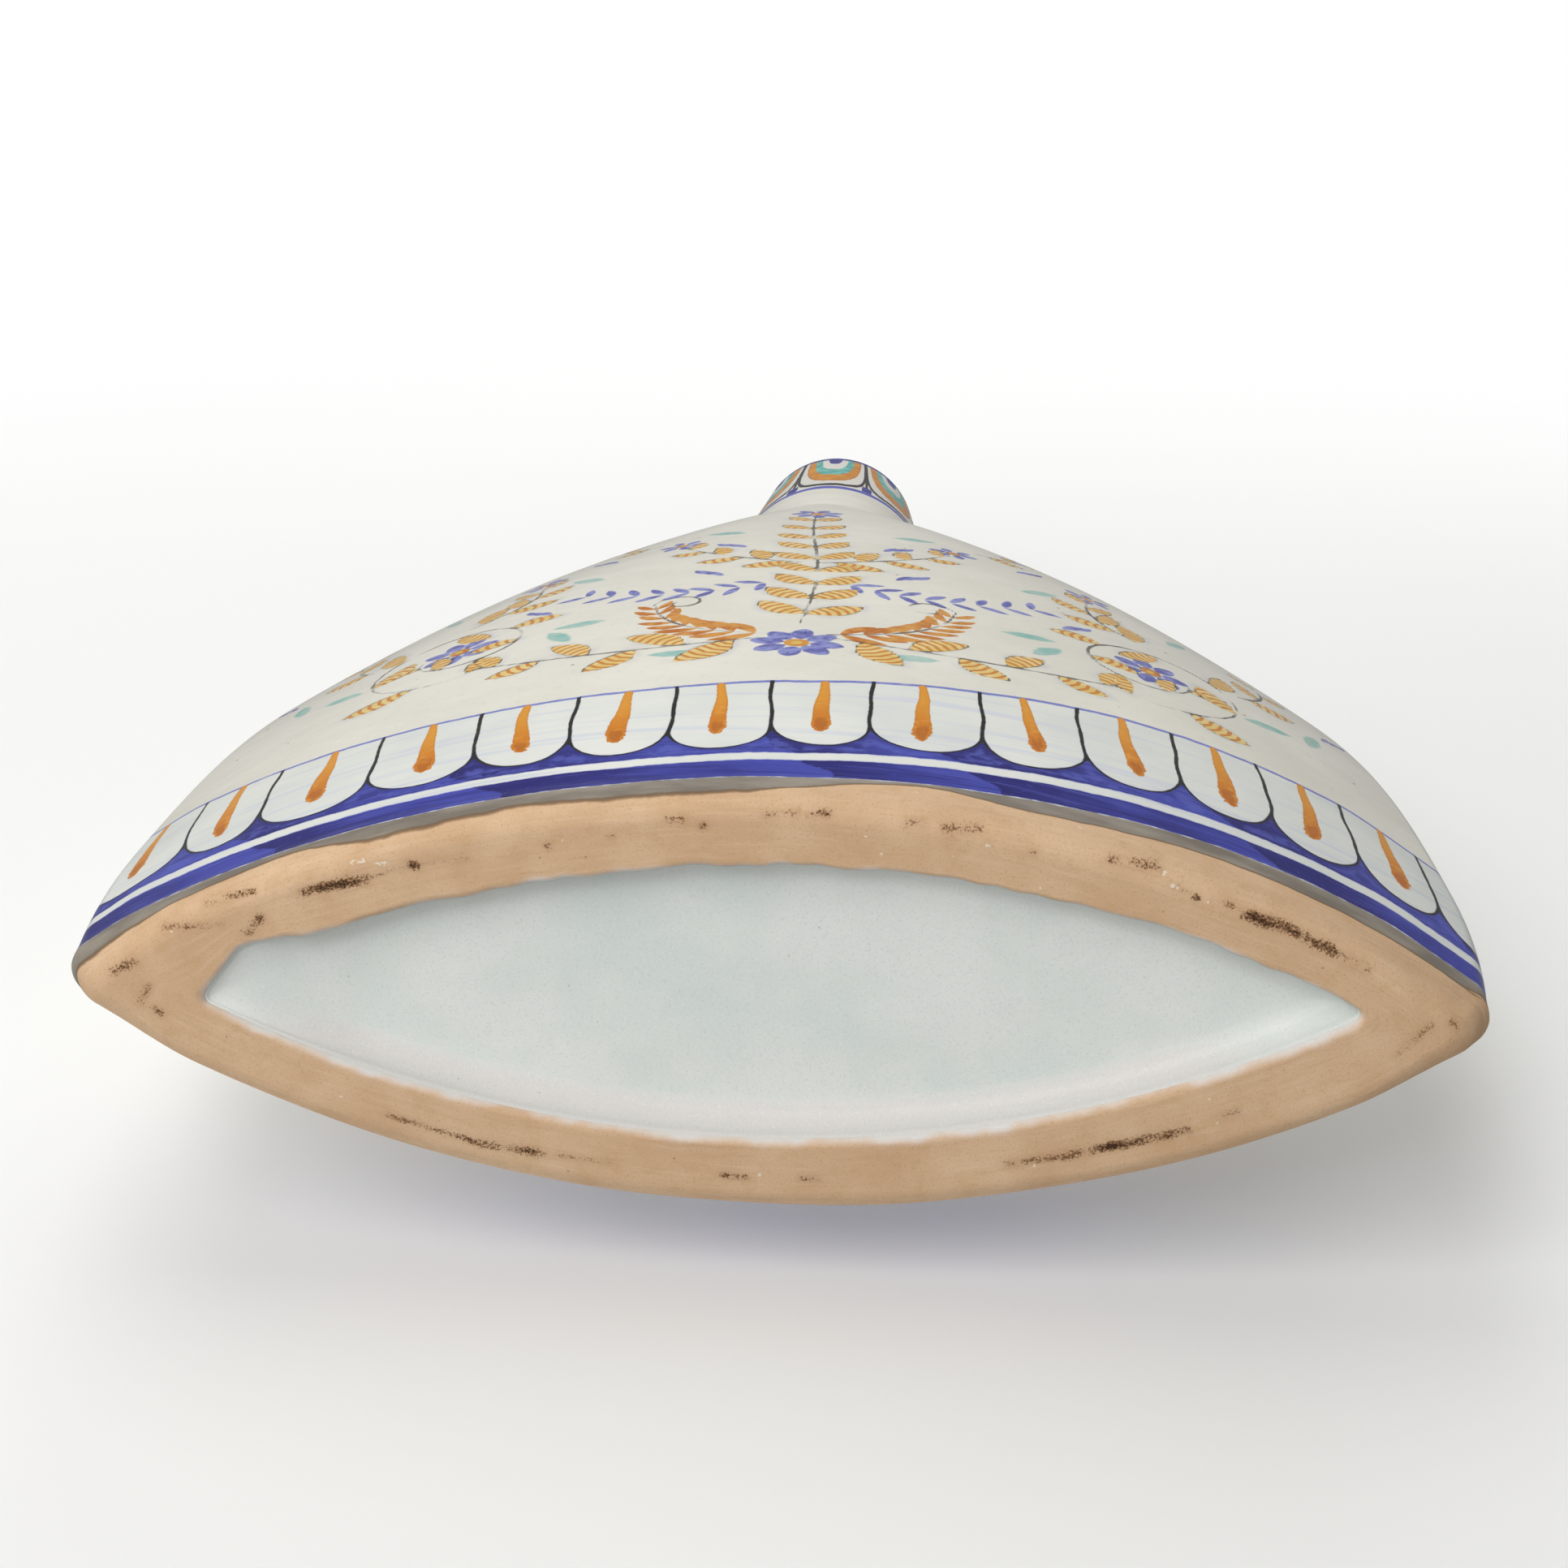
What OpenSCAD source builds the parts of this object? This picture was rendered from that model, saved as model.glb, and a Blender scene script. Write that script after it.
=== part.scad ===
// Flattened majolica flask vase: two pressed clay walls joined at the side edges,
// a thrown neck, a floor on a standing ring, and the glaze coats over them.
// X runs along the foot, Y from front to back, Z up; the foot stands on Z = 0.

/* [Body] */
// Length of the foot, tip to tip
foot_l = 300; // [270:1:320]
// Thickness of the foot, front to back
foot_d = 97; // [88:1:110]
// Greatest width of the body, edge to edge
belly_w = 316; // [300:1:340]
// Height of the greatest width
belly_h = 66; // [50:1:110]
// Height of the shoulder, where the neck stands
shoulder_h = 300; // [250:1:340]
// Radius of the rounded side edges
edge_r = 6.5; // [5:0.5:9]
// Thickness of the pressed walls
wall = 6; // [4:0.5:8]

/* [Neck] */
// Outside diameter at the bottom of the neck
neck_d = 75; // [68:1:84]
// Height of the neck above the shoulder
neck_h = 110; // [80:1:140]
// Outside diameter of the rim
rim_d = 58; // [54:1:66]
// Diameter of the mouth
mouth_d = 47; // [40:1:49]
// Straight depth of the mouth
mouth_h = 30; // [15:1:50]

/* [Foot] */
// Height of the standing ring
foot_h = 8; // [6:0.5:12]
// Step that lightens the ring's outer edge
foot_step = 3; // [1.5:0.5:4]
// Length of the recess under the floor
recess_l = 244; // [220:1:250]
// Width of the recess under the floor
recess_d = 64; // [54:1:68]
// Thickness of the floor
floor_t = 7; // [5:0.5:9]
// Clearance between the floor's edge and the walls
floor_gap = 0.3; // [0.2:0.1:0.6]

/* [Coats] */
// Thickness of the glaze coat
glaze_t = 0.8; // [0.5:0.1:1.2]
// Thickness of the slip in a seam
slip_t = 1; // [0.6:0.1:1.5]

/* [Hidden] */
$fn = 96;

clay_colour = "burlywood";
slip_colour = "sienna";
glaze_colour = "ivory";

// Segments round half a section, and rows of sections up the body
half_segments = 32;
body_rows = 24;
// How the rows crowd towards the shoulder
row_power = 1.5;
// How late the shoulder turns in, seen from the front and from the side
shoulder_power = 3.3;
face_power = 4;
// Share of the height above which the side edges grow round
round_start = 0.6;
// Smallest edge radius inside the walls, and that of the recess
inner_edge_r = 4;
recess_edge_r = 4;
// Largest share of the half thickness that an edge radius takes
most_edge_share = 0.98;
// Share of the segments that the long arc takes at its least
arc_share = 0.72;
// Where the glaze gets its extra point beside each seam
seam_point = 0.2;

neck_r = neck_d / 2;
rim_r = rim_d / 2;
mouth_r = mouth_d / 2;
total_h = shoulder_h + neck_h;
body_z0 = foot_h + slip_t;
biscuit_in = glaze_t + wall;

// Half width of the finished body at height z: a parabola up to the belly, a power curve above it
function rise(z) = (z - belly_h) / (shoulder_h - belly_h);
function half_w(z) = z < belly_h
    ? belly_w / 2 - (belly_w - foot_l) / 2 * pow(1 - z / belly_h, 2)
    : neck_r + (belly_w / 2 - neck_r) * (1 - pow(rise(z), shoulder_power));
function slope_w(z) = z < belly_h
    ? (belly_w - foot_l) / belly_h * (1 - z / belly_h)
    : -shoulder_power * (belly_w / 2 - neck_r) * pow(rise(z), shoulder_power - 1) / (shoulder_h - belly_h);

// Half thickness of the finished body at height z: nearly flat faces that turn in late
function half_d(z) = foot_d / 2 - (foot_d / 2 - neck_r) * pow(z / shoulder_h, face_power);
function slope_d(z) = -face_power * (foot_d / 2 - neck_r) * pow(z / shoulder_h, face_power - 1) / shoulder_h;

// Edge radius at height z: small on the body, the whole half thickness at the neck
function roundness(z) = pow(max(0, z / shoulder_h - round_start) / (1 - round_start), 2);
function edge(z) = edge_r + (half_d(z) - edge_r) * roundness(z);

// Half width and half thickness a depth d under the finished surface, measured square to it
function inset_d(z, d) = half_d(z) - d * sqrt(1 + pow(slope_d(z), 2));
function inset_w(z, d) = max(inset_d(z, d), half_w(z) - d * sqrt(1 + pow(slope_w(z), 2)));

// Half of a rounded lens from the +X tip to the -X tip: one long arc between two tip arcs
function lens_half(a, b, r) =
    let (ai = a - r, bi = b - r, ri = (ai * ai + bi * bi) / (2 * bi), turn = asin(min(1, ai / ri)),
         share = arc_share + (1 - arc_share) * pow(turn / 90, 2))
    [for (j = [0 : half_segments])
        let (t = 1 - 2 * j / half_segments, f = abs(t),
             angle = f <= share ? turn * f / share : turn + (90 - turn) * (f - share) / (1 - share))
        f <= share
            ? [sign(t) * (ri + r) * sin(angle), (ri + r) * cos(angle) - (ri - bi)]
            : [sign(t) * (ai + r * sin(angle)), r * cos(angle)]];
function edge_at(z, d) = min(max(edge(z) - d, inner_edge_r), most_edge_share * inset_d(z, d));
function section(z, d) = lens_half(inset_w(z, d), inset_d(z, d), edge_at(z, d));
function whole(half) = concat(half, [for (j = [half_segments - 1 : -1 : 1]) [half[j][0], -half[j][1]]]);

// Heights of the rows, closer together towards the shoulder
row_z = [for (k = [0 : body_rows]) body_z0 + (shoulder_h - body_z0) * (1 - pow(1 - k / body_rows, row_power))];

// A wall's row stops at the slip of the seams
function wall_row(z, d) = [for (p = section(z, d)) [p[0], max(p[1], slip_t / 2), z]];

// The glaze covers the wall and half the slip, and its own surface gets a point to match
function on_wall_row(z) = let (row = wall_row(z, glaze_t), tip = row[0][0])
    concat([[tip, 0, z]], row, [[-tip, 0, z]]);
function between(p, q, share) = p + (q - p) * share;
function outer_row(z) =
    let (row = [for (p = section(z, 0)) [p[0], max(p[1], 0), z]], last = half_segments)
    concat([row[0], between(row[0], row[1], seam_point)], [for (j = [1 : last - 1]) row[j]],
           [between(row[last], row[last - 1], seam_point), row[last]]);

// A closed sheet between an outer and an inner set of rows, on the +Y side
function quad(a, b, c, d) = [[a, b, c], [a, c, d]];
module sheet(outer, inner) {
    rows = len(outer);
    cols = len(outer[0]);
    function at(layer, k, j) = (layer * rows + k) * cols + j;
    points = [for (layer = [outer, inner]) for (row = layer) for (p = row) p];
    skins = [for (k = [0 : rows - 2]) for (j = [0 : cols - 2])
        for (f = concat(quad(at(0, k, j), at(0, k + 1, j), at(0, k + 1, j + 1), at(0, k, j + 1)),
                        quad(at(1, k, j), at(1, k, j + 1), at(1, k + 1, j + 1), at(1, k + 1, j)))) f];
    sides = [for (k = [0 : rows - 2])
        for (f = concat(quad(at(1, k, 0), at(1, k + 1, 0), at(0, k + 1, 0), at(0, k, 0)),
                        quad(at(0, k, cols - 1), at(0, k + 1, cols - 1),
                             at(1, k + 1, cols - 1), at(1, k, cols - 1)))) f];
    ends = [for (j = [0 : cols - 2])
        for (f = concat(quad(at(0, 0, j), at(0, 0, j + 1), at(1, 0, j + 1), at(1, 0, j)),
                        quad(at(0, rows - 1, j + 1), at(0, rows - 1, j),
                             at(1, rows - 1, j), at(1, rows - 1, j + 1)))) f];
    polyhedron(points, concat(skins, sides, ends));
}

// Pressed half shells
module back_wall() {
    color(clay_colour)
        sheet([for (z = row_z) wall_row(z, glaze_t)], [for (z = row_z) wall_row(z, biscuit_in)]);
}
module front_wall() {
    mirror([0, 1, 0]) back_wall();
}

// Slip that joins the half shells up the right side edge
module right_seam() {
    outer = [for (z = row_z) [inset_w(z, glaze_t), z]];
    inner = [for (k = [body_rows : -1 : 0]) [inset_w(row_z[k], biscuit_in), row_z[k]]];
    color(slip_colour)
        rotate([90, 0, 0]) linear_extrude(slip_t, center = true) polygon(concat(outer, inner));
}
module left_seam() {
    mirror([1, 0, 0]) right_seam();
}

// Outlines under the body
module foot_outline(inset) {
    polygon(whole(lens_half(foot_l / 2 - inset, foot_d / 2 - inset, edge_r - inset)));
}
module recess_outline() {
    polygon(whole(lens_half(recess_l / 2, recess_d / 2, recess_edge_r)));
}

// Bare clay ring that the vase stands on, with a stepped outer edge
module foot_ring() {
    color(clay_colour) difference() {
        union() {
            linear_extrude(foot_h) foot_outline(foot_step);
            translate([0, 0, foot_step]) linear_extrude(foot_h - foot_step) foot_outline(0);
        }
        translate([0, 0, -foot_h]) linear_extrude(3 * foot_h) recess_outline();
    }
}

// Slip between the ring and what stands on it
module foot_seam() {
    color(slip_colour) translate([0, 0, foot_h]) linear_extrude(slip_t) difference() {
        foot_outline(0);
        recess_outline();
    }
}

// Slab that closes the body, seated on the ring inside the walls
module base_floor() {
    color(clay_colour) translate([0, 0, body_z0]) linear_extrude(floor_t)
        polygon(whole(section(body_z0, biscuit_in + floor_gap)));
}

// Glaze on the floor's underside, inside the recess
module base_glaze() {
    color(glaze_colour) translate([0, 0, body_z0 - glaze_t]) linear_extrude(glaze_t) recess_outline();
}

// Slip under the neck
neck_out = inset_d(shoulder_h, glaze_t);
neck_in = inset_d(shoulder_h, biscuit_in);
module neck_seam() {
    color(slip_colour) translate([0, 0, shoulder_h]) difference() {
        cylinder(h = slip_t, r = neck_out);
        translate([0, 0, -slip_t]) cylinder(h = 3 * slip_t, r = neck_in);
    }
}

// Thrown neck: a tapering tube with a straight mouth
collar_z0 = shoulder_h + slip_t;
collar_z1 = total_h - glaze_t;
module neck_collar() {
    color(clay_colour) rotate_extrude()
        polygon([[neck_in, collar_z0], [neck_out, collar_z0], [rim_r - glaze_t, collar_z1],
                 [mouth_r, collar_z1], [mouth_r, collar_z1 - mouth_h]]);
}

// Painted glaze on the two faces, meeting along the side edges
module back_glaze() {
    color(glaze_colour)
        sheet([for (z = row_z) outer_row(z)], [for (z = row_z) on_wall_row(z)]);
}
module front_glaze() {
    mirror([0, 1, 0]) back_glaze();
}

// Painted glaze on the neck and over the rim
module neck_glaze() {
    color(glaze_colour) rotate_extrude()
        polygon([[neck_out, shoulder_h], [neck_r, shoulder_h], [rim_r, total_h], [mouth_r, total_h],
                 [mouth_r, collar_z1], [rim_r - glaze_t, collar_z1], [neck_out, collar_z0]]);
}

front_wall();
back_wall();
left_seam();
right_seam();
foot_ring();
foot_seam();
base_floor();
base_glaze();
neck_seam();
neck_collar();
front_glaze();
back_glaze();
neck_glaze();
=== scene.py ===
"""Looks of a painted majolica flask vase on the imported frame: metres, +Z up, +Y from front to back."""

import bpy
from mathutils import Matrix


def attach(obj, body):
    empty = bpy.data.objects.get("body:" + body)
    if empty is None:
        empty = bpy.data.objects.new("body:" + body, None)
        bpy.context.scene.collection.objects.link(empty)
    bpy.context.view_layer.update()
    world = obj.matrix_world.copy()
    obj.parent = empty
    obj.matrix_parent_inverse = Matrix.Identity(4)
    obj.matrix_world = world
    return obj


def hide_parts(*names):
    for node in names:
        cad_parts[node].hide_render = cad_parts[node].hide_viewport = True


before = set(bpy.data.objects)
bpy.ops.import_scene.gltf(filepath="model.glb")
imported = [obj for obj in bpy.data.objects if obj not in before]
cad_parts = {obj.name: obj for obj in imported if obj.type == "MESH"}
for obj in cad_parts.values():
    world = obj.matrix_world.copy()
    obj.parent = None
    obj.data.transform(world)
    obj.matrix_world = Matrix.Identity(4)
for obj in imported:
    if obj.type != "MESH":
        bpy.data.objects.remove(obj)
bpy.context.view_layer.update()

import math

import bpy
import numpy as np


# Clay body: two pressed half shells, a floor and a thrown neck of pale red earthenware, stuck together with
# slip up the side edges, under the neck and on the standing ring. The solids stay as they are and only their
# fired surface is made here. Inside the mouth the glaze runs down the clay to an uneven edge.

MM = 0.001


def hue(code):
    """A painter's hex code as a linear colour: each channel goes through the sRGB curve."""
    parts = [int(code[i:i + 2], 16) / 255 for i in (1, 3, 5)]
    return tuple(c / 12.92 if c <= 0.04045 else ((c + 0.055) / 1.055) ** 2.4 for c in parts) + (1.0,)


class Finish:
    """A fired surface: noises, steps and mixes of colour that end in one Principled shader."""

    def __init__(self, name, shine=0.12):
        self.material = bpy.data.materials.new(name)
        self.material.use_nodes = True
        self.tree = self.material.node_tree
        self.shader = self.tree.nodes["Principled BSDF"]
        self.shader.inputs["Specular IOR Level"].default_value = shine
        self.place = self.add("TexCoord").outputs["Object"]

    def add(self, kind, inputs=None, **settings):
        """One node, with its settings and what goes into its inputs."""
        made = self.tree.nodes.new("ShaderNode" + kind)
        for key, value in settings.items():
            setattr(made, key, value)
        for key, value in (inputs or {}).items():
            self.feed(made.inputs[key], value)
        return made

    def feed(self, entry, value):
        """A socket is linked to the entry; anything else is the entry's own value."""
        if isinstance(value, bpy.types.NodeSocket):
            self.tree.links.new(value, entry)
        else:
            entry.default_value = value

    def sum(self, operation, a, b=0.0, c=0.0):
        """One step of arithmetic on up to three values."""
        return self.add("Math", {0: a, 1: b, 2: c}, operation=operation).outputs[0]

    def times(self, a, b):
        """The product of two values."""
        return self.sum("MULTIPLY", a, b)

    def less(self, a, b):
        """The first value less the second."""
        return self.sum("SUBTRACT", a, b)

    def scaled(self, value, factor, start):
        """A start plus the value times a factor."""
        return self.sum("MULTIPLY_ADD", value, factor, start)

    def step(self, value, low, high):
        """0 at low and 1 at high, smooth between them; low may be the greater."""
        made = self.add("MapRange", {0: value, 1: low, 2: high}, interpolation_type="SMOOTHSTEP")
        return made.outputs[0]

    def mix(self, share, under, over, strength=None):
        """The colour under, covered by the colour over to a share, times a strength if there is one."""
        share = share if strength is None else self.times(share, strength)
        under, over = (hue(tone) if isinstance(tone, str) else tone for tone in (under, over))
        return self.add("Mix", {0: share, 6: under, 7: over}, data_type="RGBA").outputs[2]

    def layers(self, ground, *coats):
        """Coats of colour over a ground, in turn: each a share, a colour, and a strength if there is one."""
        for share, *coat in coats:
            ground = self.mix(share, ground, *coat)
        return ground

    def noise(self, size, detail=3.0, stretch=None, rough=0.55, at=None):
        """Cloudy noise about 0.5 with features of the given size in mm, drawn out by stretch."""
        where = self.place if at is None else at
        if stretch:
            where = self.add("Mapping", {0: where, 3: [1 / s for s in stretch]}).outputs[0]
        made = self.add("TexNoise", {0: where, "Scale": 1 / (size * MM), "Detail": detail,
                                     "Roughness": rough})
        return made.outputs[0]

    def patch(self, size, detail, low, high, stretch=None):
        """Cloudy patches: noise of the given size in mm, stepped from low to high."""
        return self.step(self.noise(size, detail, stretch), low, high)

    def shake(self, size, detail):
        """The shake of a painter's hand: noise about 0."""
        return self.less(self.noise(size, detail), 0.5)

    def specks(self, size, share):
        """Small round specks: cells of the given size in mm, with a dot of that share in some of them."""
        made = self.add("TexVoronoi", {0: self.place, "Scale": 1 / (size * MM)})
        lucky = self.add("SeparateColor", {0: made.outputs["Color"]}).outputs[0]
        dot = self.step(made.outputs["Distance"], 0.5 * share + 0.04, 0.5 * share)
        return self.times(dot, self.step(lucky, 0.6, 0.7))

    def read(self, name):
        """A number that the mesh carries at each point."""
        return self.add("Attribute", attribute_name=name).outputs["Fac"]

    def end(self, colour, roughness, relief=None, depth=0.0):
        """Colour, roughness and relief (0 to 1, over depth in mm) go into the shader."""
        self.feed(self.shader.inputs["Base Color"], colour)
        self.feed(self.shader.inputs["Roughness"], roughness)
        if relief is not None:
            bump = self.add("Bump", {"Height": relief, "Distance": depth * MM})
            self.feed(self.shader.inputs["Normal"], bump.outputs[0])
        return self.material


def fired_clay(finish, pale="#dcb58c", deep="#c79a6e"):
    """Bare earthenware: clouds of two clay tones, dark and white specks of grog, and a fine grain."""
    grain = finish.noise(0.6, 4, rough=0.65)
    return finish.layers(
        deep, (finish.patch(22, 4, 0.34, 0.68), pale), (finish.step(grain, 0.58, 0.82), "#b98a60", 0.35),
        (finish.specks(4.6, 0.07), "#8a6242", 0.6), (finish.specks(8.0, 0.05), "#f0e2cb", 0.7)), grain


inside = Finish("fired_clay_inside")
clay_tone, clay_grain = fired_clay(inside)
clay_inside = inside.end(clay_tone, 0.86, clay_grain, 0.12)

slip = Finish("slip_joint")
slip_tone, slip_grain = fired_clay(slip, "#cfa57c", "#b98b62")
slip_joint = slip.end(slip_tone, 0.9, slip_grain, 0.15)

THROAT_RUN, THROAT_EDGE = 26.0, 362.0
throat = Finish("glazed_throat")
throat_clay, _ = fired_clay(throat)
throat_height = throat.times(throat.add("SeparateXYZ", {0: throat.place}).outputs[2], 1 / MM)
run_edge = throat.scaled(throat.noise(14, 2), THROAT_RUN, THROAT_EDGE)
glazed = throat.step(throat.less(throat_height, run_edge), -0.4, 0.5)
throat_white = throat.mix(throat.patch(18, 3, 0.35, 0.7), "#e6e3d9", "#d9dad6")
thrown_rings = throat.noise(3.0, 1, (40, 40, 1))
clay_throat = throat.end(throat.mix(glazed, throat_clay, throat_white), throat.scaled(glazed, -0.66, 0.84),
                         thrown_rings, 0.25)

clay_nodes = {
    "front_wall": clay_inside, "back_wall": clay_inside, "base_floor": clay_inside,
    "left_seam": slip_joint, "right_seam": slip_joint, "foot_seam": slip_joint, "neck_seam": slip_joint,
    "neck_collar": clay_throat,
}
for node_name, clay in clay_nodes.items():
    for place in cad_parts[node_name].material_slots:
        place.material = clay


# Standing ring: bare clay on a pointed-oval plan, trimmed with a rounded edge and a soft lip, stuck on with
# slip and wiped clean of glaze with a wet sponge, which leaves streaks. The knife left the recess askew,
# blunt and ragged, and handling wore the tips and left brown scuffs and chips.

RING_TOP, SLIP_LOW, RING_PROUD, RING_ROUND, LIP_ROUND = 9.0, 8.0, 0.3, 6.0, 1.8
TIP_WORN, TIP_FROM, TIP_OVER = 5.0, 124.0, 24.0
FOOT_HALF = (150.0, 48.0)
CLEAR = 0.03
SCUFF_TOP, NO_SPILL, NO_GLAZE = 7.0, 9.0, -20.0
RECESS = np.array([122.0, 32.0, 1.8])
RECESS_TURN, RECESS_AT = math.radians(-1.4), (1.5, -1.5)
BORDER_REACH, BAND_LOW = 168.6, 14.85


def half_width(z):
    """Half the body's width in mm: a parabola up to the belly at 66 mm, then a 3.3-power curve in."""
    low = 158 - 8 * (1 - z / 66) ** 2
    high = 37.5 + 120.5 * (1 - (np.maximum(z - 66, 0) / 234) ** 3.3)
    return np.where(z < 66, low, high)


def half_depth(z):
    """Half the body's depth in mm: nearly straight, then a fourth-power curve in to the neck."""
    return 48.5 - 11 * (z / 300) ** 4


def edge_radius(z):
    """Radius of the body's side edges in mm: 6.5 up to 180 mm, then growing until the plan is round."""
    grown = 6.5 + (half_depth(z) - 6.5) * (np.maximum(0, z / 300 - 0.6) / 0.4) ** 2
    return np.minimum(grown, 0.98 * half_depth(z))


def body_lens(z, proud):
    """The body's lens at one height: half width, half depth and tip radius, each made greater by proud."""
    return np.array([half_width(z), half_depth(z), edge_radius(z)]) + proud


def lens(t, a, b, r):
    """The front of a rounded lens, walked by arc length from t = -1 at the left tip to t = 1 at the right.
    A long arc centred behind the middle runs tangent into a tip arc of radius r. Gives x, y and the way."""
    ai, bi = a - r, b - r
    far = (ai ** 2 + bi ** 2) / (2 * bi)
    turn = np.arcsin(np.minimum(1.0, ai / far))
    long_arc = (far + r) * turn
    way = np.abs(t) * (long_arc + r * (np.pi / 2 - turn))
    angle = np.where(way <= long_arc, way / (far + r), turn + (way - long_arc) / r)
    x = np.where(way <= long_arc, (far + r) * np.sin(angle), ai + r * np.sin(angle))
    y = np.where(way <= long_arc, (far + r) * np.cos(angle) - (far - bi), r * np.cos(angle))
    return np.sign(t) * x, -y, np.sign(t) * way


def lens_loop(t, a, b, r):
    """The whole lens for t from -2 to 2: its front from -1 to 1, and that arc turned over behind it."""
    behind = np.abs(t) > 1
    x, y, way = lens(np.where(behind, np.sign(t) * (2 - np.abs(t)), t), a, b, r)
    return x, np.where(behind, -y, y), way


def cut_askew(x, y, share):
    """The recess was cut a little askew: its lens turns and shifts, by the given share of the full amount."""
    c, s = np.cos(RECESS_TURN * share), np.sin(RECESS_TURN * share)
    return c * x - s * y + RECESS_AT[0] * share, s * x + c * y + RECESS_AT[1] * share


def ease(value):
    """0 below 0, 1 above 1, and 3v2 - 2v3 between."""
    v = np.clip(value, 0, 1)
    return v * v * (3 - 2 * v)


def hump(p, middle, wide):
    """A soft bump of height 1: the bell curve of the distance from its middle over its width."""
    return np.exp(-((p - middle) / wide) ** 2)


def blunt_end(x, y):
    """The knife left the recess's left end blunt: its front edge swells there by up to 6 mm and then runs
    straight to the tip. All of that edge is a little ragged. The swell fades to nothing across the recess and
    over 14 mm of the foot in front."""
    a, b, _ = RECESS
    arc = (a * a + b * b) / (2 * b)
    edge = np.maximum(np.sqrt(np.maximum(arc ** 2 - x ** 2, 0)) - (arc - b), 0)
    swell = 1.7 * ease((-62 - x) / 18) + 4.5 * ease((-95 - x) / 18)
    ragged = 0.28 * np.sin(x / 5.3 + 2 * np.sin(x / 19)) + 0.16 * np.sin(x / 1.7 + 2 * np.sin(x / 7.9))
    swell = (swell + ragged) * np.clip((x + 121.6) / 8, 0, 1)
    within, before = np.clip((edge - y) / (2 * edge + 0.5), 0, 1), 1 - ease((-edge - y) / 14)
    return x, y - swell * np.where(y > -edge, within, before)


def sway(p, back):
    """How far the painter's rings rise along the body, in mm, at place p along the border: slow waves, two
    soft bumps on the front, and dips at the side edges, where the front and the back meet."""
    if back:
        along = (p + BORDER_REACH) / (2 * BORDER_REACH)
        return -1.8 + 1.24 * along + 1.6 * np.sin(3 * np.pi * along) - 4.2 * ease((p - 149) / 19)
    dips = 4.6 * ease((p - 135) / 33) + 4.2 * ease((-149 - p) / 19)
    return 3.75 * np.sin(2 * np.pi * (p - 22) / 400) - dips - 1.8 * hump(p, -42, 48) + 1.5 * hump(p, 78, 50)


def band_thinned(p, back):
    """How much thinner the cobalt band is towards the vase's right edge, in mm, taken off its lower edge."""
    return 2.4 * ease((-108 - p if back else p - 60) / 60)


def wiped_edge(p, back):
    """Height in mm of the edge to which the glaze was wiped off the foot: below the cobalt band by a strip
    that narrows at the side edges and in a few soft humps, with a fine ripple."""
    if back:
        strip = 8.2 - 3.0 * np.sin(np.pi * (p + BORDER_REACH) / (2 * BORDER_REACH)) ** 2
        strip = strip - 4.2 * ease((p - 156) / 10) - 5.1 * ease((-154 - p) / 12)
    else:
        strip = 8.6 - 7.2 * hump(p, 30, 19) - 3.0 * hump(p, -122, 22) - 3.2 * hump(p, -102, 13)
        strip = strip - 2.3 * hump(p, -54, 34) - 1.4 * hump(p, 98, 22) - 1.5 * ease((p - 60) / 30)
        strip = strip - 4.6 * ease((-156 - p) / 10) - 4.0 * ease((p - 154) / 12)
    ripple = 0.35 * np.sin(p / 6.1) * np.sin(p / 17.3 + 1) + 0.15 * np.sin(p / 2.7 + 2 * np.sin(p / 11))
    return BAND_LOW + sway(p, back) + 0.5 * band_thinned(p, back) - strip + ripple


def mesh_of(name, points, faces):
    """A smooth mesh from points in mm and faces."""
    mesh = bpy.data.meshes.new(name)
    mesh.from_pydata((points * MM).tolist(), [], faces)
    mesh.polygons.foreach_set("use_smooth", np.ones(len(mesh.polygons), dtype=bool))
    return mesh


def shell(name, points, closed_rows=False):
    """A mesh from a grid of points whose columns close on themselves. Rows close too, or end in one middle
    point each, the mean of the first and the last row. Faces look to the left of the way the rows run."""
    rows, columns = points.shape[:2]
    index = np.arange(rows * columns).reshape(rows, columns)
    beside = np.roll(index, -1, axis=1)
    flat = points.reshape(-1, 3)
    if closed_rows:
        below, beside_below = np.roll(index, -1, axis=0), np.roll(beside, -1, axis=0)
        return mesh_of(name, flat, np.stack([index, below, beside_below, beside], -1).reshape(-1, 4).tolist())
    quads = np.stack([index[:-1], index[1:], beside[1:], beside[:-1]], axis=-1).reshape(-1, 4)
    first, last = np.full(columns, rows * columns), np.full(columns, rows * columns + 1)
    start = np.stack([first, index[0], beside[0]], axis=-1)
    finish = np.stack([index[-1], last, beside[-1]], axis=-1)
    ends = np.stack([points[0].mean(axis=0), points[-1].mean(axis=0)])
    return mesh_of(name, np.concatenate([flat, ends]), quads.tolist() + start.tolist() + finish.tolist())


def carry(mesh, shape, **numbers):
    """Numbers for the material to read, one at each point of the grid that the mesh starts with."""
    for name, values in numbers.items():
        padded = np.zeros(len(mesh.vertices), dtype=np.float32)
        padded[:shape[0] * shape[1]] = np.broadcast_to(values, shape).ravel()
        mesh.attributes.new(name, "FLOAT", "POINT").data.foreach_set("value", padded)


def place_piece(mesh, material, slot, *nodes):
    """The piece as an object at the origin, on the one rigid body, standing for its solids."""
    mesh.materials.append(material)
    piece = bpy.data.objects.new(mesh.name, mesh)
    bpy.context.scene.collection.objects.link(piece)
    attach(piece, "root")
    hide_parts(*nodes)


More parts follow.
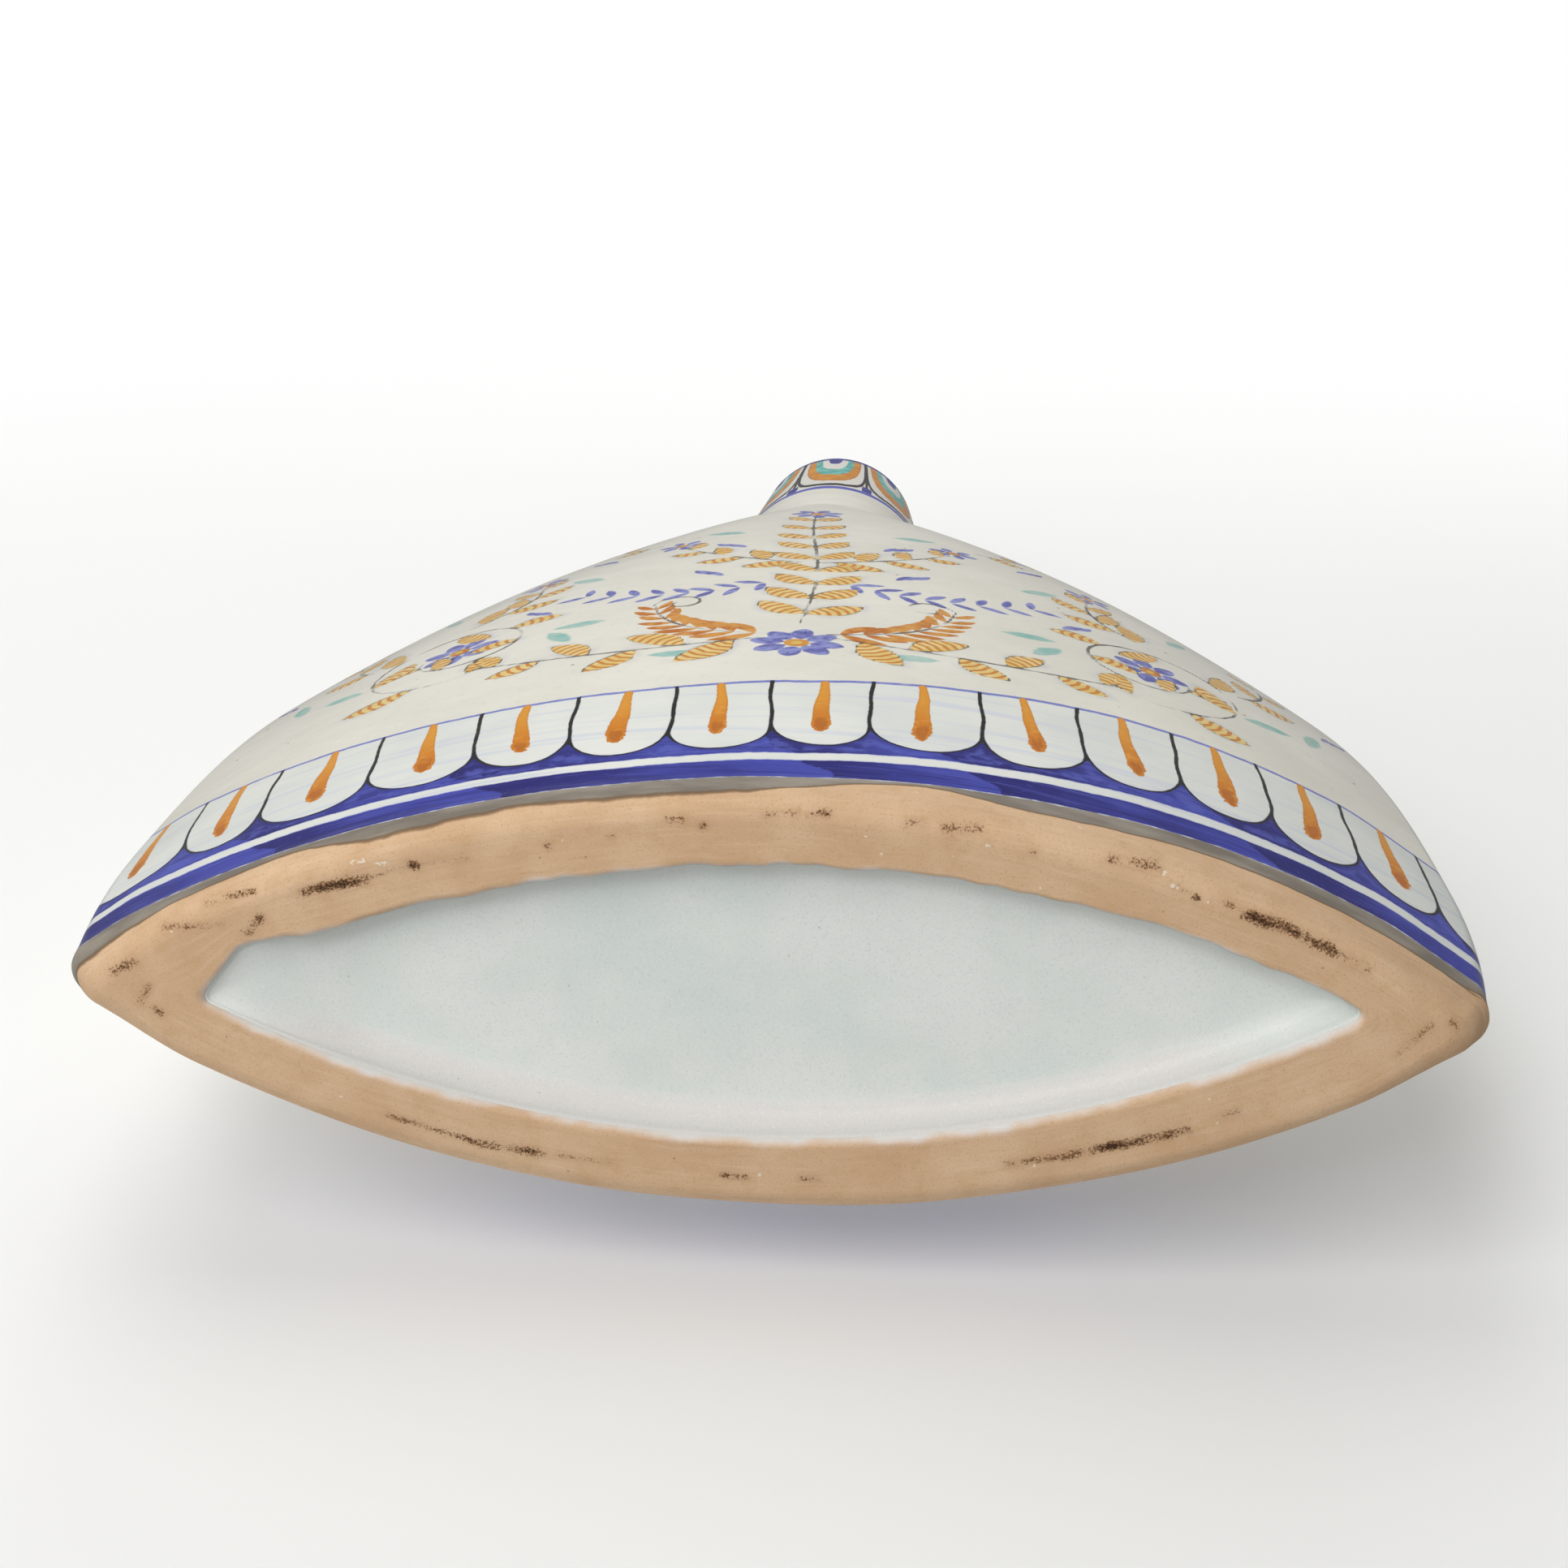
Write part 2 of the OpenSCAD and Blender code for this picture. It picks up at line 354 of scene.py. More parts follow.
def dents(x, y, size, seed):
    """Slow uneven rises between -1 and 1: a few crossed sine waves of about the given size in mm."""
    spin = np.random.default_rng(seed)
    total = 0.0
    for _ in range(5):
        angle, phase, pitch = spin.uniform(0, np.pi), spin.uniform(0, 2 * np.pi), spin.uniform(0.7, 1.5)
        total = total + np.sin((x * np.cos(angle) + y * np.sin(angle)) * 2 * np.pi / (size * pitch) + phase)
    return total / 3


def ring_profile():
    """Rows of (a, b, r, z) round the ring's section: down the outer side, round the lower edge, in along the
    foot, over the lip, up the recess wall, out along the hidden top and up behind the edge that hides the
    slip. Gives the rows and how many of them are the outer side and its edge."""
    bend = np.linspace(0, np.pi / 2, 15)[1:]
    out = body_lens(RING_ROUND, RING_PROUD)
    rows = [(*body_lens(z, RING_PROUD), z) for z in np.linspace(RING_TOP, RING_ROUND, 7)]
    rows += [(*(out - RING_ROUND * (1 - np.cos(q))), RING_ROUND * (1 - np.sin(q))) for q in bend]
    outer = len(rows)
    foot_outer, foot_inner = out - RING_ROUND, RECESS + LIP_ROUND
    rows += [(*(foot_outer + (foot_inner - foot_outer) * w), 0.0) for w in np.linspace(0, 1, 26)[1:-2]]
    rows += [(*(foot_inner - LIP_ROUND * np.sin(q)), LIP_ROUND * (1 - np.cos(q)))
             for q in np.linspace(0, np.pi / 2, 8)]
    rows += [(*RECESS, z) for z in np.linspace(3.2, SLIP_LOW, 4)]
    top = body_lens(SLIP_LOW, CLEAR)
    rows += [(*(RECESS + (top - RECESS) * w), SLIP_LOW) for w in (0.5, 1.0)]
    rows += [(*body_lens(RING_TOP, CLEAR), RING_TOP)]
    return np.array(rows), outer


ring_t = np.linspace(-2, 2, 960, endpoint=False)
ring_rows, outer_count = ring_profile()
ring_b, ring_h = ring_rows[:, 1:2], ring_rows[:, 3:4]
ring_x, ring_y, ring_way = lens_loop(ring_t[None, :], *(ring_rows[:, k, None] for k in range(3)))
inward = (half_depth(0) - ring_b - RING_ROUND) / (half_depth(0) - RECESS[1] - RING_ROUND)
ring_x, ring_y = cut_askew(*blunt_end(ring_x, ring_y), np.clip(inward, 0, 1))
ring_z = ring_h + (ring_h < 0.01) * np.maximum(0, 0.035 * (1 + dents(ring_x, ring_y, 40, 3)))
outer_rows = (np.arange(len(ring_rows)) < outer_count)[:, None]
out_of_true = 0.22 * dents(ring_x, ring_y, 55, 4) * (outer_rows & (ring_h < RING_ROUND + 0.1))
ring_x, ring_y = (c * (1 + out_of_true / half) for c, half in zip((ring_x, ring_y), FOOT_HALF))
tip_worn = TIP_WORN * ease((np.abs(ring_x) - TIP_FROM) / TIP_OVER) * (1 - np.clip(ring_z / RING_TOP, 0, 1))
ring_x = ring_x - np.sign(ring_x) * tip_worn
ring_mesh = shell("standing_ring", np.stack([ring_x, ring_y, ring_z], axis=-1), closed_rows=True)
ring_mesh.set_sharp_from_angle(angle=math.radians(50))

# from x, y to x, y in mm, half width, strength
scuffs = (
    (-97, -24.5, -84, -27.8, 1.3, 1.1), (-84, -27.8, -74, -31.5, 0.8, 0.7),
    (-74, -31.5, -73, -31.2, 1.1, 1.2), (-73, -31.5, -62, -33.2, 0.8, 0.6),
    (-115, -21.8, -108, -23.6, 0.9, 0.85), (-119, -20, -113, -22, 0.8, 0.7),
    (-109.4, -14.8, -106.8, -18, 1.3, 0.95), (-128, -14.6, -115, -16.1, 1.0, 0.72),
    (-140, -4.1, -135, -6.7, 1.4, 0.9), (-132.4, -0.9, -134.2, 2.6, 1.2, 0.85),
    (-131, 4, -130, 5, 1.2, 0.9), (-20.5, -43.2, -17.5, -43.2, 1.0, 0.8),
    (-13.5, -42.2, -13, -42.2, 0.9, 0.9), (-1, -44.8, 6.3, -45.5, 0.9, 0.75),
    (8.5, -45.4, 12.5, -45.4, 1.0, 0.8), (28.5, -43.9, 31.5, -43.9, 1.0, 0.8),
    (36, -43.3, 43, -42.9, 1.1, 0.8), (-45.6, -36.7, -45, -36.7, 0.9, 0.85),
    (-32.5, -39.3, -32, -39.3, 0.8, 0.8), (70, -37.3, 80, -35.7, 1.0, 0.82),
    (82, -32.6, 87.6, -29.8, 0.8, 0.7), (87.4, -29.9, 87.8, -29.7, 0.8, 1.25),
    (93.9, -28.8, 97.7, -26.5, 1.0, 0.8), (97.7, -26.5, 107, -23.4, 1.4, 1.1),
    (107, -23.4, 116.4, -18.7, 1.3, 1.1), (116.4, -18.7, 124, -15, 1.0, 0.72),
    (142.5, -3.4, 144, -2.2, 1.1, 0.75), (73, -39.8, 74, -39.8, 1.0, 0.85),
    (53.9, -38.6, 54.4, -38.6, 0.7, 0.75), (52, 34, 64, 31.4, 1.0, 0.85), (64, 31.4, 90, 24, 1.3, 1.0),
    (-82, 28, -62, 34, 0.9, 0.9), (-62, 34, -48, 36, 1.2, 0.95), (-48, 36, -34, 37.5, 0.9, 0.7),
    (-9, 39.5, -4, 39.8, 0.9, 0.9), (8, 39.6, 12, 39.4, 0.8, 0.75), (97, 20, 100, 19, 1.0, 0.85),
    (132, 4, 138, -3, 1.0, 0.7),
)
# x, y and half width in mm
chips = (
    (-86.4, -31.3, 0.6), (-85.2, -31.6, 0.5), (-84, -31.8, 0.6), (-81, -31.2, 0.6), (-79.8, -31.4, 0.5),
    (-78.8, -31.6, 0.5), (81, -34.5, 0.6), (82.5, -32.3, 0.6), (83.6, -31.9, 0.5), (44.8, -39.9, 0.6),
    (77, -40, 0.5), (-1, 39, 0.5), (90, -29, 0.4), (-92, 24, 0.4), (-126, -14, 0.4), (58, 34, 0.4),
    (96, 22, 0.4), (112, 13, 0.4), (-42, -38, 0.4), (20, -41, 0.4),
)


def near_line(x, y, x0, y0, x1, y1):
    """Distance from each point to the straight piece between two ends."""
    dx, dy = x1 - x0, y1 - y0
    along = np.clip(((x - x0) * dx + (y - y0) * dy) / max(dx * dx + dy * dy, 1e-9), 0, 1)
    return np.hypot(x - x0 - along * dx, y - y0 - along * dy)


scuffed, chipped = np.zeros_like(ring_x), np.zeros_like(ring_x)
for x0, y0, x1, y1, wide, strong in scuffs:
    away = near_line(ring_x, ring_y, x0, y0, x1, y1) / wide
    scuffed = np.maximum(scuffed, strong * np.exp(-0.5 * away ** 2))
for x0, y0, wide in chips:
    chipped = np.maximum(chipped, np.exp(-0.5 * (np.hypot(ring_x - x0, ring_y - y0) / wide) ** 2))
low = ring_z < SCUFF_TOP
ring_edge = np.where(ring_y > 0, wiped_edge(-ring_way, True), wiped_edge(ring_way, False))
across = np.cumsum(np.concatenate([[0], np.hypot(np.diff(ring_rows[:, 1]), np.diff(ring_rows[:, 3]))]))
turn_way = ring_t * np.pi
lapped = 0.9 + 0.5 * np.sin(3 * turn_way + 1) * np.sin(turn_way) + 0.25 * np.sin(11 * turn_way + 2)
lapped = lapped + 0.2 * np.sin(23 * turn_way) * np.sin(7 * turn_way + 1) + 0.08 * np.sin(41 * turn_way + 0.5)
carry(ring_mesh, ring_x.shape, scuff=scuffed * low, chip=chipped * low, along=ring_way,
      across=across[:, None], spill=np.where(outer_rows, NO_SPILL, ring_b - RECESS[1] - lapped),
      wipe=np.where(outer_rows, ring_z - ring_edge, NO_GLAZE))


def wiped_clay(finish):
    """Bare clay wiped by the sponge: the fired clay with paler and redder streaks that run along the ring."""
    tone, grain = fired_clay(finish, "#d9b996", "#cfac88")
    streak_at = finish.add("CombineXYZ", {0: finish.times(finish.read("along"), 0.06 * MM),
                                          1: finish.times(finish.read("across"), MM)})
    streak = finish.noise(1.1, 4, at=streak_at.outputs[0])
    tone = finish.layers(
        tone, (finish.step(streak, 0.52, 0.72), "#e3caae", 0.26),
        (finish.step(streak, 0.46, 0.28), "#bd9775", 0.26),
        (finish.step(finish.noise(6, 5, rough=0.65), 0.5, 0.66), "#c69f76", 0.3),
        (finish.patch(0.5, 2, 0.54, 0.72), "#b08b69", 0.4))
    return tone, finish.sum("ADD", finish.times(grain, 0.8), finish.times(streak, 0.3))


def glaze_foot(finish, tone, wipe):
    """Below the paint the thin glaze is grey, ends in a brown line and leaves the clay bare under it."""
    edge = finish.scaled(finish.noise(5, 3), 1.2, finish.less(wipe, 0.6))
    grey = finish.mix(finish.patch(7, 4, 0.35, 0.68, (3, 3, 1)), "#7b7368", "#9a9184")
    covered = finish.step(edge, -0.15, 0.35)
    brown = finish.times(finish.step(edge, -0.75, -0.1), finish.step(edge, 0.9, 0.2))
    return finish.layers(tone, (covered, grey), (brown, "#6d5238", 0.75)), covered


ring = Finish("wiped_ring_clay")
ring_tone, ring_relief = wiped_clay(ring)
patchy = ring.times(ring.read("scuff"), ring.scaled(ring.noise(4.5, 3), 1.5, 0.2))
worn = ring.scaled(patchy, 0.42, ring.noise(0.55, 5, rough=0.75))
flaked = ring.step(ring.scaled(ring.noise(0.8, 3), 1.6, ring.read("chip")), 1.45, 1.6)
ring_tone = ring.layers(
    ring_tone, (patchy, "#9a6f49", 0.28), (ring.step(worn, 0.79, 0.87), "#704b2b", 0.8),
    (ring.step(worn, 0.9, 0.98), "#2e1c15", 0.85), (flaked, "#e6dcca", 0.8))
ring_tone, ring_glazed = glaze_foot(ring, ring_tone, ring.read("wipe"))
spill = ring.scaled(ring.noise(4, 4), 1.0, ring.less(ring.read("spill"), 0.5))
lap_white = ring.step(spill, 0.1, -1.2)
ring_tone = ring.layers(ring_tone, (ring.step(spill, 0.9, -0.6), "#dfcab8", 0.8), (lap_white, "#dcd9d4"))
ring_gloss = ring.scaled(ring.sum("MAXIMUM", ring_glazed, lap_white), -0.45, 0.82)
place_piece(ring_mesh, ring.end(ring_tone, ring_gloss, ring_relief, 0.16), "bare_clay", "foot_ring")


# Glaze under the floor: the recess was poured full of white tin glaze and emptied, so it lies bluish and wavy
# on the floor, runs up the wall in a soft hollow and thins to pinkish clay at an uneven edge by the lip. The
# pinkish grey of the wall, most at the back, is partly painted shade. At the blunt end it lies thick, so the
# floor comes up in a shoal.

DISH_Z, DISH_BACK, DISH_LOW, DISH_EDGE = 8.2, 8.9, 1.9, 1.4
DISH_HOLLOW, DISH_THIN, DISH_TIP = 6.5, 0.3, 0.3


def recess_lens(t, inset):
    """The recess's lens moved in by inset. Its long arcs keep their middles, so the tips draw in faster, and
    the tip's radius shrinks until it is nearly a point."""
    a, b, r = RECESS
    if inset <= r - DISH_TIP:
        return lens_loop(t, a - inset, b - inset, r - inset)[:2]
    far = ((a - r) ** 2 + (b - r) ** 2) / (2 * (b - r))
    return lens_loop(t, math.sqrt((far + r - inset) ** 2 - (far + r - b) ** 2), b - inset, DISH_TIP)[:2]


def dish_rows():
    """Rows of (inset, share, z): in along the back of the coat, down to the edge by the lip, up round the
    hollow, which is a quarter of an ellipse, and in over the floor. A share draws a row in to the middle."""
    hidden = [(CLEAR, share, DISH_BACK) for share in (0.02, 0.3, 0.7, 1.0)] + [(CLEAR, 1.0, 5.0)]
    hollow = [(DISH_THIN + (DISH_HOLLOW - DISH_THIN) * (1 - np.sin(q)), 1.0,
               DISH_Z - (DISH_Z - DISH_LOW) * (1 - np.cos(q))) for q in np.linspace(np.pi / 2, 0, 14)]
    shares = np.concatenate([np.linspace(0.99, 0.92, 6), np.linspace(0.9, 0.02, 34)])
    return hidden + [(-0.06, 1.0, DISH_EDGE)] + hollow + [(DISH_HOLLOW, share, DISH_Z) for share in shares]


dish_t = np.linspace(-2, 2, 800, endpoint=False)
dish = []
for inset, share, height in dish_rows():
    dish_x, dish_y = recess_lens(dish_t, inset)
    dish_x, dish_y = cut_askew(*blunt_end(dish_x * share, dish_y * share), 1.0)
    shoal = 0.75 * ease((-84 - dish_x) / 32) * (height < DISH_BACK)
    dish.append(np.stack([dish_x, dish_y, height - shoal * np.maximum(height - DISH_EDGE, 0)], axis=-1))
dish = np.array(dish)
dish_h = dish[..., 2].copy()
waves = 0.10 * dents(dish[..., 0], dish[..., 1], 30, 8)
dish[..., 2] += waves * ease((dish_h - 6) / 2) * (dish_h < DISH_BACK)
dish_mesh = shell("recess_glaze", dish)
dish_mesh.set_sharp_from_angle(angle=math.radians(60))
dish_inset = np.array([inset + 40 * (1 - share) for inset, share, _ in dish_rows()])[:, None]
carry(dish_mesh, dish_h.shape, rear=ease((dish[..., 1] - 2) / 10),
      wall=ease((DISH_HOLLOW + 0.6 - dish_inset) / 4))

pour = Finish("poured_recess_glaze")
# Pinkish grey on the recess wall, strongest at the back: thin glaze over the clay, and painted shade that
# darkens the back of the hollow, which faces the lamps.
thin_glaze_and_painted_shade = pour.times(pour.read("wall"), pour.scaled(pour.read("rear"), 0.7, 0.2))
pour_tone = pour.layers(
    "#d8dfda", (pour.patch(26, 3, 0.3, 0.7), "#e3e6e1"), (thin_glaze_and_painted_shade, "#dad6d2"),
    (pour.patch(0.5, 2, 0.52, 0.72), "#b9c3bf", 0.3), (pour.patch(0.6, 2, 0.46, 0.28), "#f0f1ec", 0.25),
    (pour.specks(6.0, 0.04), "#9a978c", 0.45))
pour_glaze = pour.end(pour_tone, pour.scaled(pour.noise(7, 2), 0.1, 0.12), pour.noise(9, 3), 0.25)
place_piece(dish_mesh, pour_glaze, "base_glaze", "base_glaze")


# Painted coats on the walls: white tin glaze 0.8 mm thick, painted by hand before the firing. Round the foot
# runs a border of white tongues parted by dark brush lines, each with an orange drop, over a cobalt band.
# Each wall's coat is made in two sheets, the border and the cream field above it.

COAT, WALL_TOP = 0.8, 300.0
BORDER_TOP, BORDER_GRID = 93.0, (70, 19, 8)
LINE_H, CUSP_RISE, TONGUE_H, SPANDREL_H, BAND_TOP = 79.5, 16.0, 34.4, 30.0, 25.4
DROP_TOP, DROP_THIN, DROP_FAT, DROP_OVER = LINE_H - 0.3, 0.95, 2.5, 9.5
STEADY = 140.0


def wall_point(t, z, inset=0.0):
    """A point of the front wall's finished surface, t along the section and z up, moved in by inset. The
    lower edge stands proud over the ring, and slow dents of a pressed wall move the surface."""
    proud = RING_PROUD * (1 - ease((z - RING_TOP) / 6)) - inset
    dented = 0.22 * dents(t * 170, z, 90, 11) * ease((z - 14) / 30) * ease((292 - z) / 30)
    proud = proud + dented * (1 - t ** 4)
    x, y, way = lens(t, half_width(z) + proud, half_depth(z) + proud, edge_radius(z) + proud)
    return np.stack([x, y, z], -1), way


def wall_normals(t, z):
    """Unit normals of the wall from differences of the surface along t and z."""
    small_t, small_z = 1e-4, 0.05
    along = wall_point(t + small_t, z)[0] - wall_point(t - small_t, z)[0]
    up = wall_point(t, z + small_z)[0] - wall_point(t, z - small_z)[0]
    normal = np.cross(along, up)
    return normal / np.linalg.norm(normal, axis=-1, keepdims=True)


def sheet_of_glaze(name, low, high, grid, back):
    """A closed coat between two heights: a fine outer grid, a coarse inner grid 0.8 mm behind it, and a rim
    whose faces join one inner edge to as many outer ones. The back is the front turned half round."""
    columns, rows, ratio = grid
    half_turn = np.array([-1, -1, 1] if back else [1, 1, 1])
    t, z = np.meshgrid(np.linspace(-1, 1, columns * ratio + 1), np.linspace(low, high, rows * ratio + 1))
    tc, zc = t[::ratio, ::ratio], z[::ratio, ::ratio]
    outer, way = wall_point(t, z)
    inner, _ = wall_point(tc, zc, COAT)
    fine = np.arange(t.size).reshape(t.shape)
    coarse = t.size + np.arange(tc.size).reshape(tc.shape)
    out = np.stack([fine[:-1, :-1], fine[:-1, 1:], fine[1:, 1:], fine[1:, :-1]], -1).reshape(-1, 4)
    into = np.stack([coarse[:-1, :-1], coarse[1:, :-1], coarse[1:, 1:], coarse[:-1, 1:]], -1).reshape(-1, 4)
    faces = out.tolist() + into.tolist()
    edges = ((fine[0], coarse[0], False), (fine[-1], coarse[-1], True),
             (fine[:, 0], coarse[:, 0], True), (fine[:, -1], coarse[:, -1], False))
    for fine_edge, coarse_edge, turn in edges:
        runs = np.concatenate([fine_edge[:-1].reshape(-1, ratio), fine_edge[ratio::ratio, None]], axis=1)
        rim = np.concatenate([runs[:, ::-1], coarse_edge[:-1, None], coarse_edge[1:, None]], axis=1)
        faces += (rim[:, ::-1] if turn else rim).tolist()
    points = np.concatenate([(side * half_turn).reshape(-1, 3) for side in (outer, inner)])
    normals = np.concatenate([(side * half_turn).reshape(-1, 3)
                              for side in (wall_normals(t, z), -wall_normals(tc, zc))])
    mesh = mesh_of(name, points, faces)
    mesh.normals_split_custom_set_from_vertices(normals.tolist())
    return mesh, t, z, way


def border_marks(t, z, back, dividers, seed):
    """The border's shapes as signed distances in mm, at place p along the wall and painted height h. A tongue
    is straight sides over an elliptic end; a drop is a brush mark that swells downwards. Tongues that go
    round a side edge are drawn with a steady hand, so that the front and the back agree there."""
    draw = np.random.default_rng(seed)
    p = t * BORDER_REACH
    steeper = 0.5 + 0.45 * ease((-108 - p if back else p - 20) / 60)
    h = z - sway(p, back) * (1 + steeper * np.clip((z - 15) / 65, 0, 1.2))
    h = h + 0.22 * np.sin(p / 9 + 2 * np.sin(p / 31)) + 0.12 * np.sin(p / 3.3)
    fan = np.clip((h - 45) / 35, -0.4, 1.2)
    q = (p + 1.2 * fan) / (1 + 0.025 * fan) + 0.35 * np.sin(z / 9 + p / 12) + 0.15 * np.sin(z / 3.1 + p / 5)
    q = q + (p - q) * ease((np.abs(p) - STEADY) / (BORDER_REACH - STEADY))
    parts = np.array(dividers, dtype=float)
    cell = np.clip(np.searchsorted(parts, q) - 1, 0, len(parts) - 2)
    middle, wide = (parts[cell] + parts[cell + 1]) / 2, (parts[cell + 1] - parts[cell]) / 2
    own = np.abs(parts[:-1] + parts[1:]) / 2 < BORDER_REACH - 13

    def by_hand(even, low, high):
        """A measure of each tongue: an even value, and a draw between low and high for the wall's own."""
        return np.where(own, even + draw.uniform(low, high, own.size), even)[cell]

    foot, rise, skew = by_hand(TONGUE_H, -0.9, 0.9), by_hand(CUSP_RISE, -1.2, 1.2), by_hand(0, -0.12, 0.12)
    side = (q - middle) / wide
    down = np.maximum(foot + rise - h, 0) / rise
    round_end = (np.abs(side + skew * down * (1 - np.abs(side))) ** 2.1 + down ** 2.1) ** (1 / 2.1)
    lean_top, lean_end = by_hand(0, -1.0, 1.0), by_hand(0, -1.6, 1.6)
    end = foot + by_hand(DROP_OVER, -1.8, 1.8)
    fat = by_hand(DROP_FAT, -0.3, 0.25)
    run = (DROP_TOP - h) / (DROP_TOP - end)
    within = np.clip(run, 0, 1)
    axis = middle + lean_top + (lean_end - lean_top) * within ** 1.5
    girth = DROP_THIN + (fat - DROP_THIN) * within ** 1.1 - 0.9 * ease((within - 0.88) / 0.12)
    beside = np.abs(q - axis) - girth
    beyond = np.maximum(np.maximum(run - 1, -run), 0) * (LINE_H - end)
    drop = np.hypot(np.maximum(beside, 0), beyond) + np.minimum(beside, 0)
    starts = np.cumsum(np.concatenate([[-178], draw.uniform(36, 82, 12)]))
    slant = p + 0.7 * (h - 20) + 1.2 * np.sin(h / 1.7)
    begun = np.clip(np.searchsorted(starts, slant) - 1, 0, len(starts) - 2)
    load = (slant - starts[begun]) / (starts[begun + 1] - starts[begun])
    band_share = np.clip((h - BAND_LOW) / (BAND_TOP - BAND_LOW), 0, 1)
    return dict(lift=h - band_thinned(p, back) * (1 - band_share), tongue=(round_end - 1) * wide, drop=drop,
                drop_end=run, wipe=z - wiped_edge(p, back), along=p, across=z, load=load)


def tin_white(finish):
    """The cream field: tin glaze in warm and cool clouds, with sparse dark specks and pinholes."""
    return finish.layers(
        "#e0ddd0", (finish.patch(48, 3, 0.3, 0.7), "#e9e6da"),
        (finish.patch(2.2, 3, 0.56, 0.75), "#d3d0c5", 0.35), (finish.specks(9.0, 0.07), "#9a8f7c"))


def border_paint():
    """The border's colours, laid one over the other: white ground, blue line, cobalt, dark lines, drops."""
    paint = Finish("painted_border")
    h, tongue, drop, run, load = (paint.read(n) for n in ("lift", "tongue", "drop", "drop_end", "load"))
    rag, fine_rag = paint.shake(3.2, 3), paint.shake(1.1, 2)

    white = paint.layers(
        "#dcdfd9", (paint.patch(30, 3, 0.3, 0.7), "#e6e7e0"),
        (paint.patch(5.0, 4, 0.52, 0.66, (14, 14, 0.55)), "#c3cbe0", 0.42))
    below = paint.step(paint.scaled(rag, 0.6, h), LINE_H + 0.4, LINE_H - 0.4)
    off_line = paint.sum("ABSOLUTE", paint.less(paint.scaled(rag, 0.9, h), LINE_H))
    line = paint.times(paint.step(off_line, 1.05, 0.55), paint.patch(12, 2, 0.1, 0.42))
    line_blue = paint.mix(paint.noise(8, 2), "#8a92d0", "#6a72bd")

    in_band = paint.sum("MINIMUM", paint.less(BAND_TOP, paint.scaled(rag, 1.0, h)),
                        paint.less(paint.scaled(rag, -1.2, h), BAND_LOW))
    in_corner = paint.sum("MINIMUM", tongue, paint.less(paint.scaled(rag, 1.3, h), SPANDREL_H))
    in_corner = paint.sum("MINIMUM", in_corner, paint.less(TONGUE_H + CUSP_RISE + 3.5, h))
    in_blue = paint.sum("MAXIMUM", in_band, in_corner)
    spent = paint.scaled(paint.noise(8, 4, (2.5, 2.5, 1)), 0.9, paint.less(load, 0.45))
    bristle = paint.noise(1.5, 3, (16, 16, 1))
    thinned = paint.times(paint.step(in_corner, 0.5, 2.4), paint.patch(4.5, 3, 0.42, 0.62))
    cobalt = paint.layers(
        "#211f72", (paint.step(spent, 0.1, 0.95), "#4047a8"),
        (paint.step(load, 0.07, 0.01), "#141358", 0.4), (paint.patch(2.4, 3, 0.55, 0.75), "#4a50b2", 0.3),
        (paint.step(bristle, 0.5, 0.34), "#1a1860", 0.45),
        (paint.step(bristle, 0.54, 0.7), "#5a62b4", 0.35), (thinned, "#5a63c0", 0.55))

    pressed = paint.step(h, TONGUE_H + 3, TONGUE_H + CUSP_RISE + 3)
    half = paint.scaled(rag, 0.4, paint.scaled(pressed, 0.2, 0.28))
    ink = paint.step(paint.less(paint.sum("ABSOLUTE", tongue), half), 0.14, -0.12)
    ink = paint.times(ink, paint.step(paint.scaled(rag, 3.0, h), LINE_H + 0.9, LINE_H + 0.4))
    ink = paint.times(ink, paint.step(h, BAND_TOP, BAND_TOP + 1))
    black = paint.mix(paint.step(fine_rag, 0.05, 0.25), "#1d1b1b", "#3a3532")

    blob = paint.scaled(fine_rag, paint.scaled(paint.step(run, 0.7, 1.0), 1.6, 0.5), drop)
    pooled = paint.times(paint.step(paint.scaled(rag, 0.3, run), 0.74, 0.84), paint.step(blob, -0.5, -1.1))
    amber = paint.layers(
        "#de9626", (paint.step(run, 0.25, 0.8), "#d07d12"), (paint.patch(2.6, 3, 0.5, 0.72), "#e09a30"),
        (pooled, "#b0600e", 0.75), (paint.step(blob, -0.55, -0.1), "#b96c12", 0.45))

    clay, grain = wiped_clay(paint)
    foot, covered = glaze_foot(paint, clay, paint.read("wipe"))
    bare = paint.step(paint.scaled(rag, 1.4, h), BAND_LOW + 0.1, BAND_LOW - 0.5)
    no_glaze = paint.times(bare, paint.less(1.0, covered))
    gloss = paint.scaled(no_glaze, 0.6, paint.scaled(bare, 0.22, 0.16))
    relief = paint.scaled(no_glaze, paint.times(grain, 0.5), paint.noise(16, 2))
    tone = paint.layers(
        tin_white(paint), (below, white), (line, line_blue),
        (paint.step(in_blue, -0.75, 0.0), "#9aa0dc", 0.55), (paint.step(in_blue, -0.12, 0.22), cobalt),
        (ink, black), (paint.step(blob, 0.15, -0.15), amber), (bare, foot))
    return paint.end(tone, gloss, relief, 0.22)


border_glaze = border_paint()
round_the_body = 2 * BORDER_REACH
front_dividers = (-191, -168, -143, -121.5, -94.5, -69.5, -47, -24.5, -2.5, 20, 45, 68.5, 91.5, 113.5, 135,
                  156, 179)
back_dividers = (*(at - round_the_body for at in front_dividers[-2:]),
                 -135, -111.5, -88, -65, -41.5, -17.5, 5.5, 29, 53, 76.5, 99.5, 123,
                 *(at + round_the_body for at in front_dividers[:3]))
for label, back, dividers, seed in (("front", False, front_dividers, 21), ("back", True, back_dividers, 22)):
    mesh, t, z, _ = sheet_of_glaze(label + "_border_coat", RING_TOP, BORDER_TOP, BORDER_GRID, back)
    carry(mesh, t.shape, **border_marks(t, z, back, dividers, seed))
    place_piece(mesh, border_glaze, "painted_glaze", label + "_glaze")


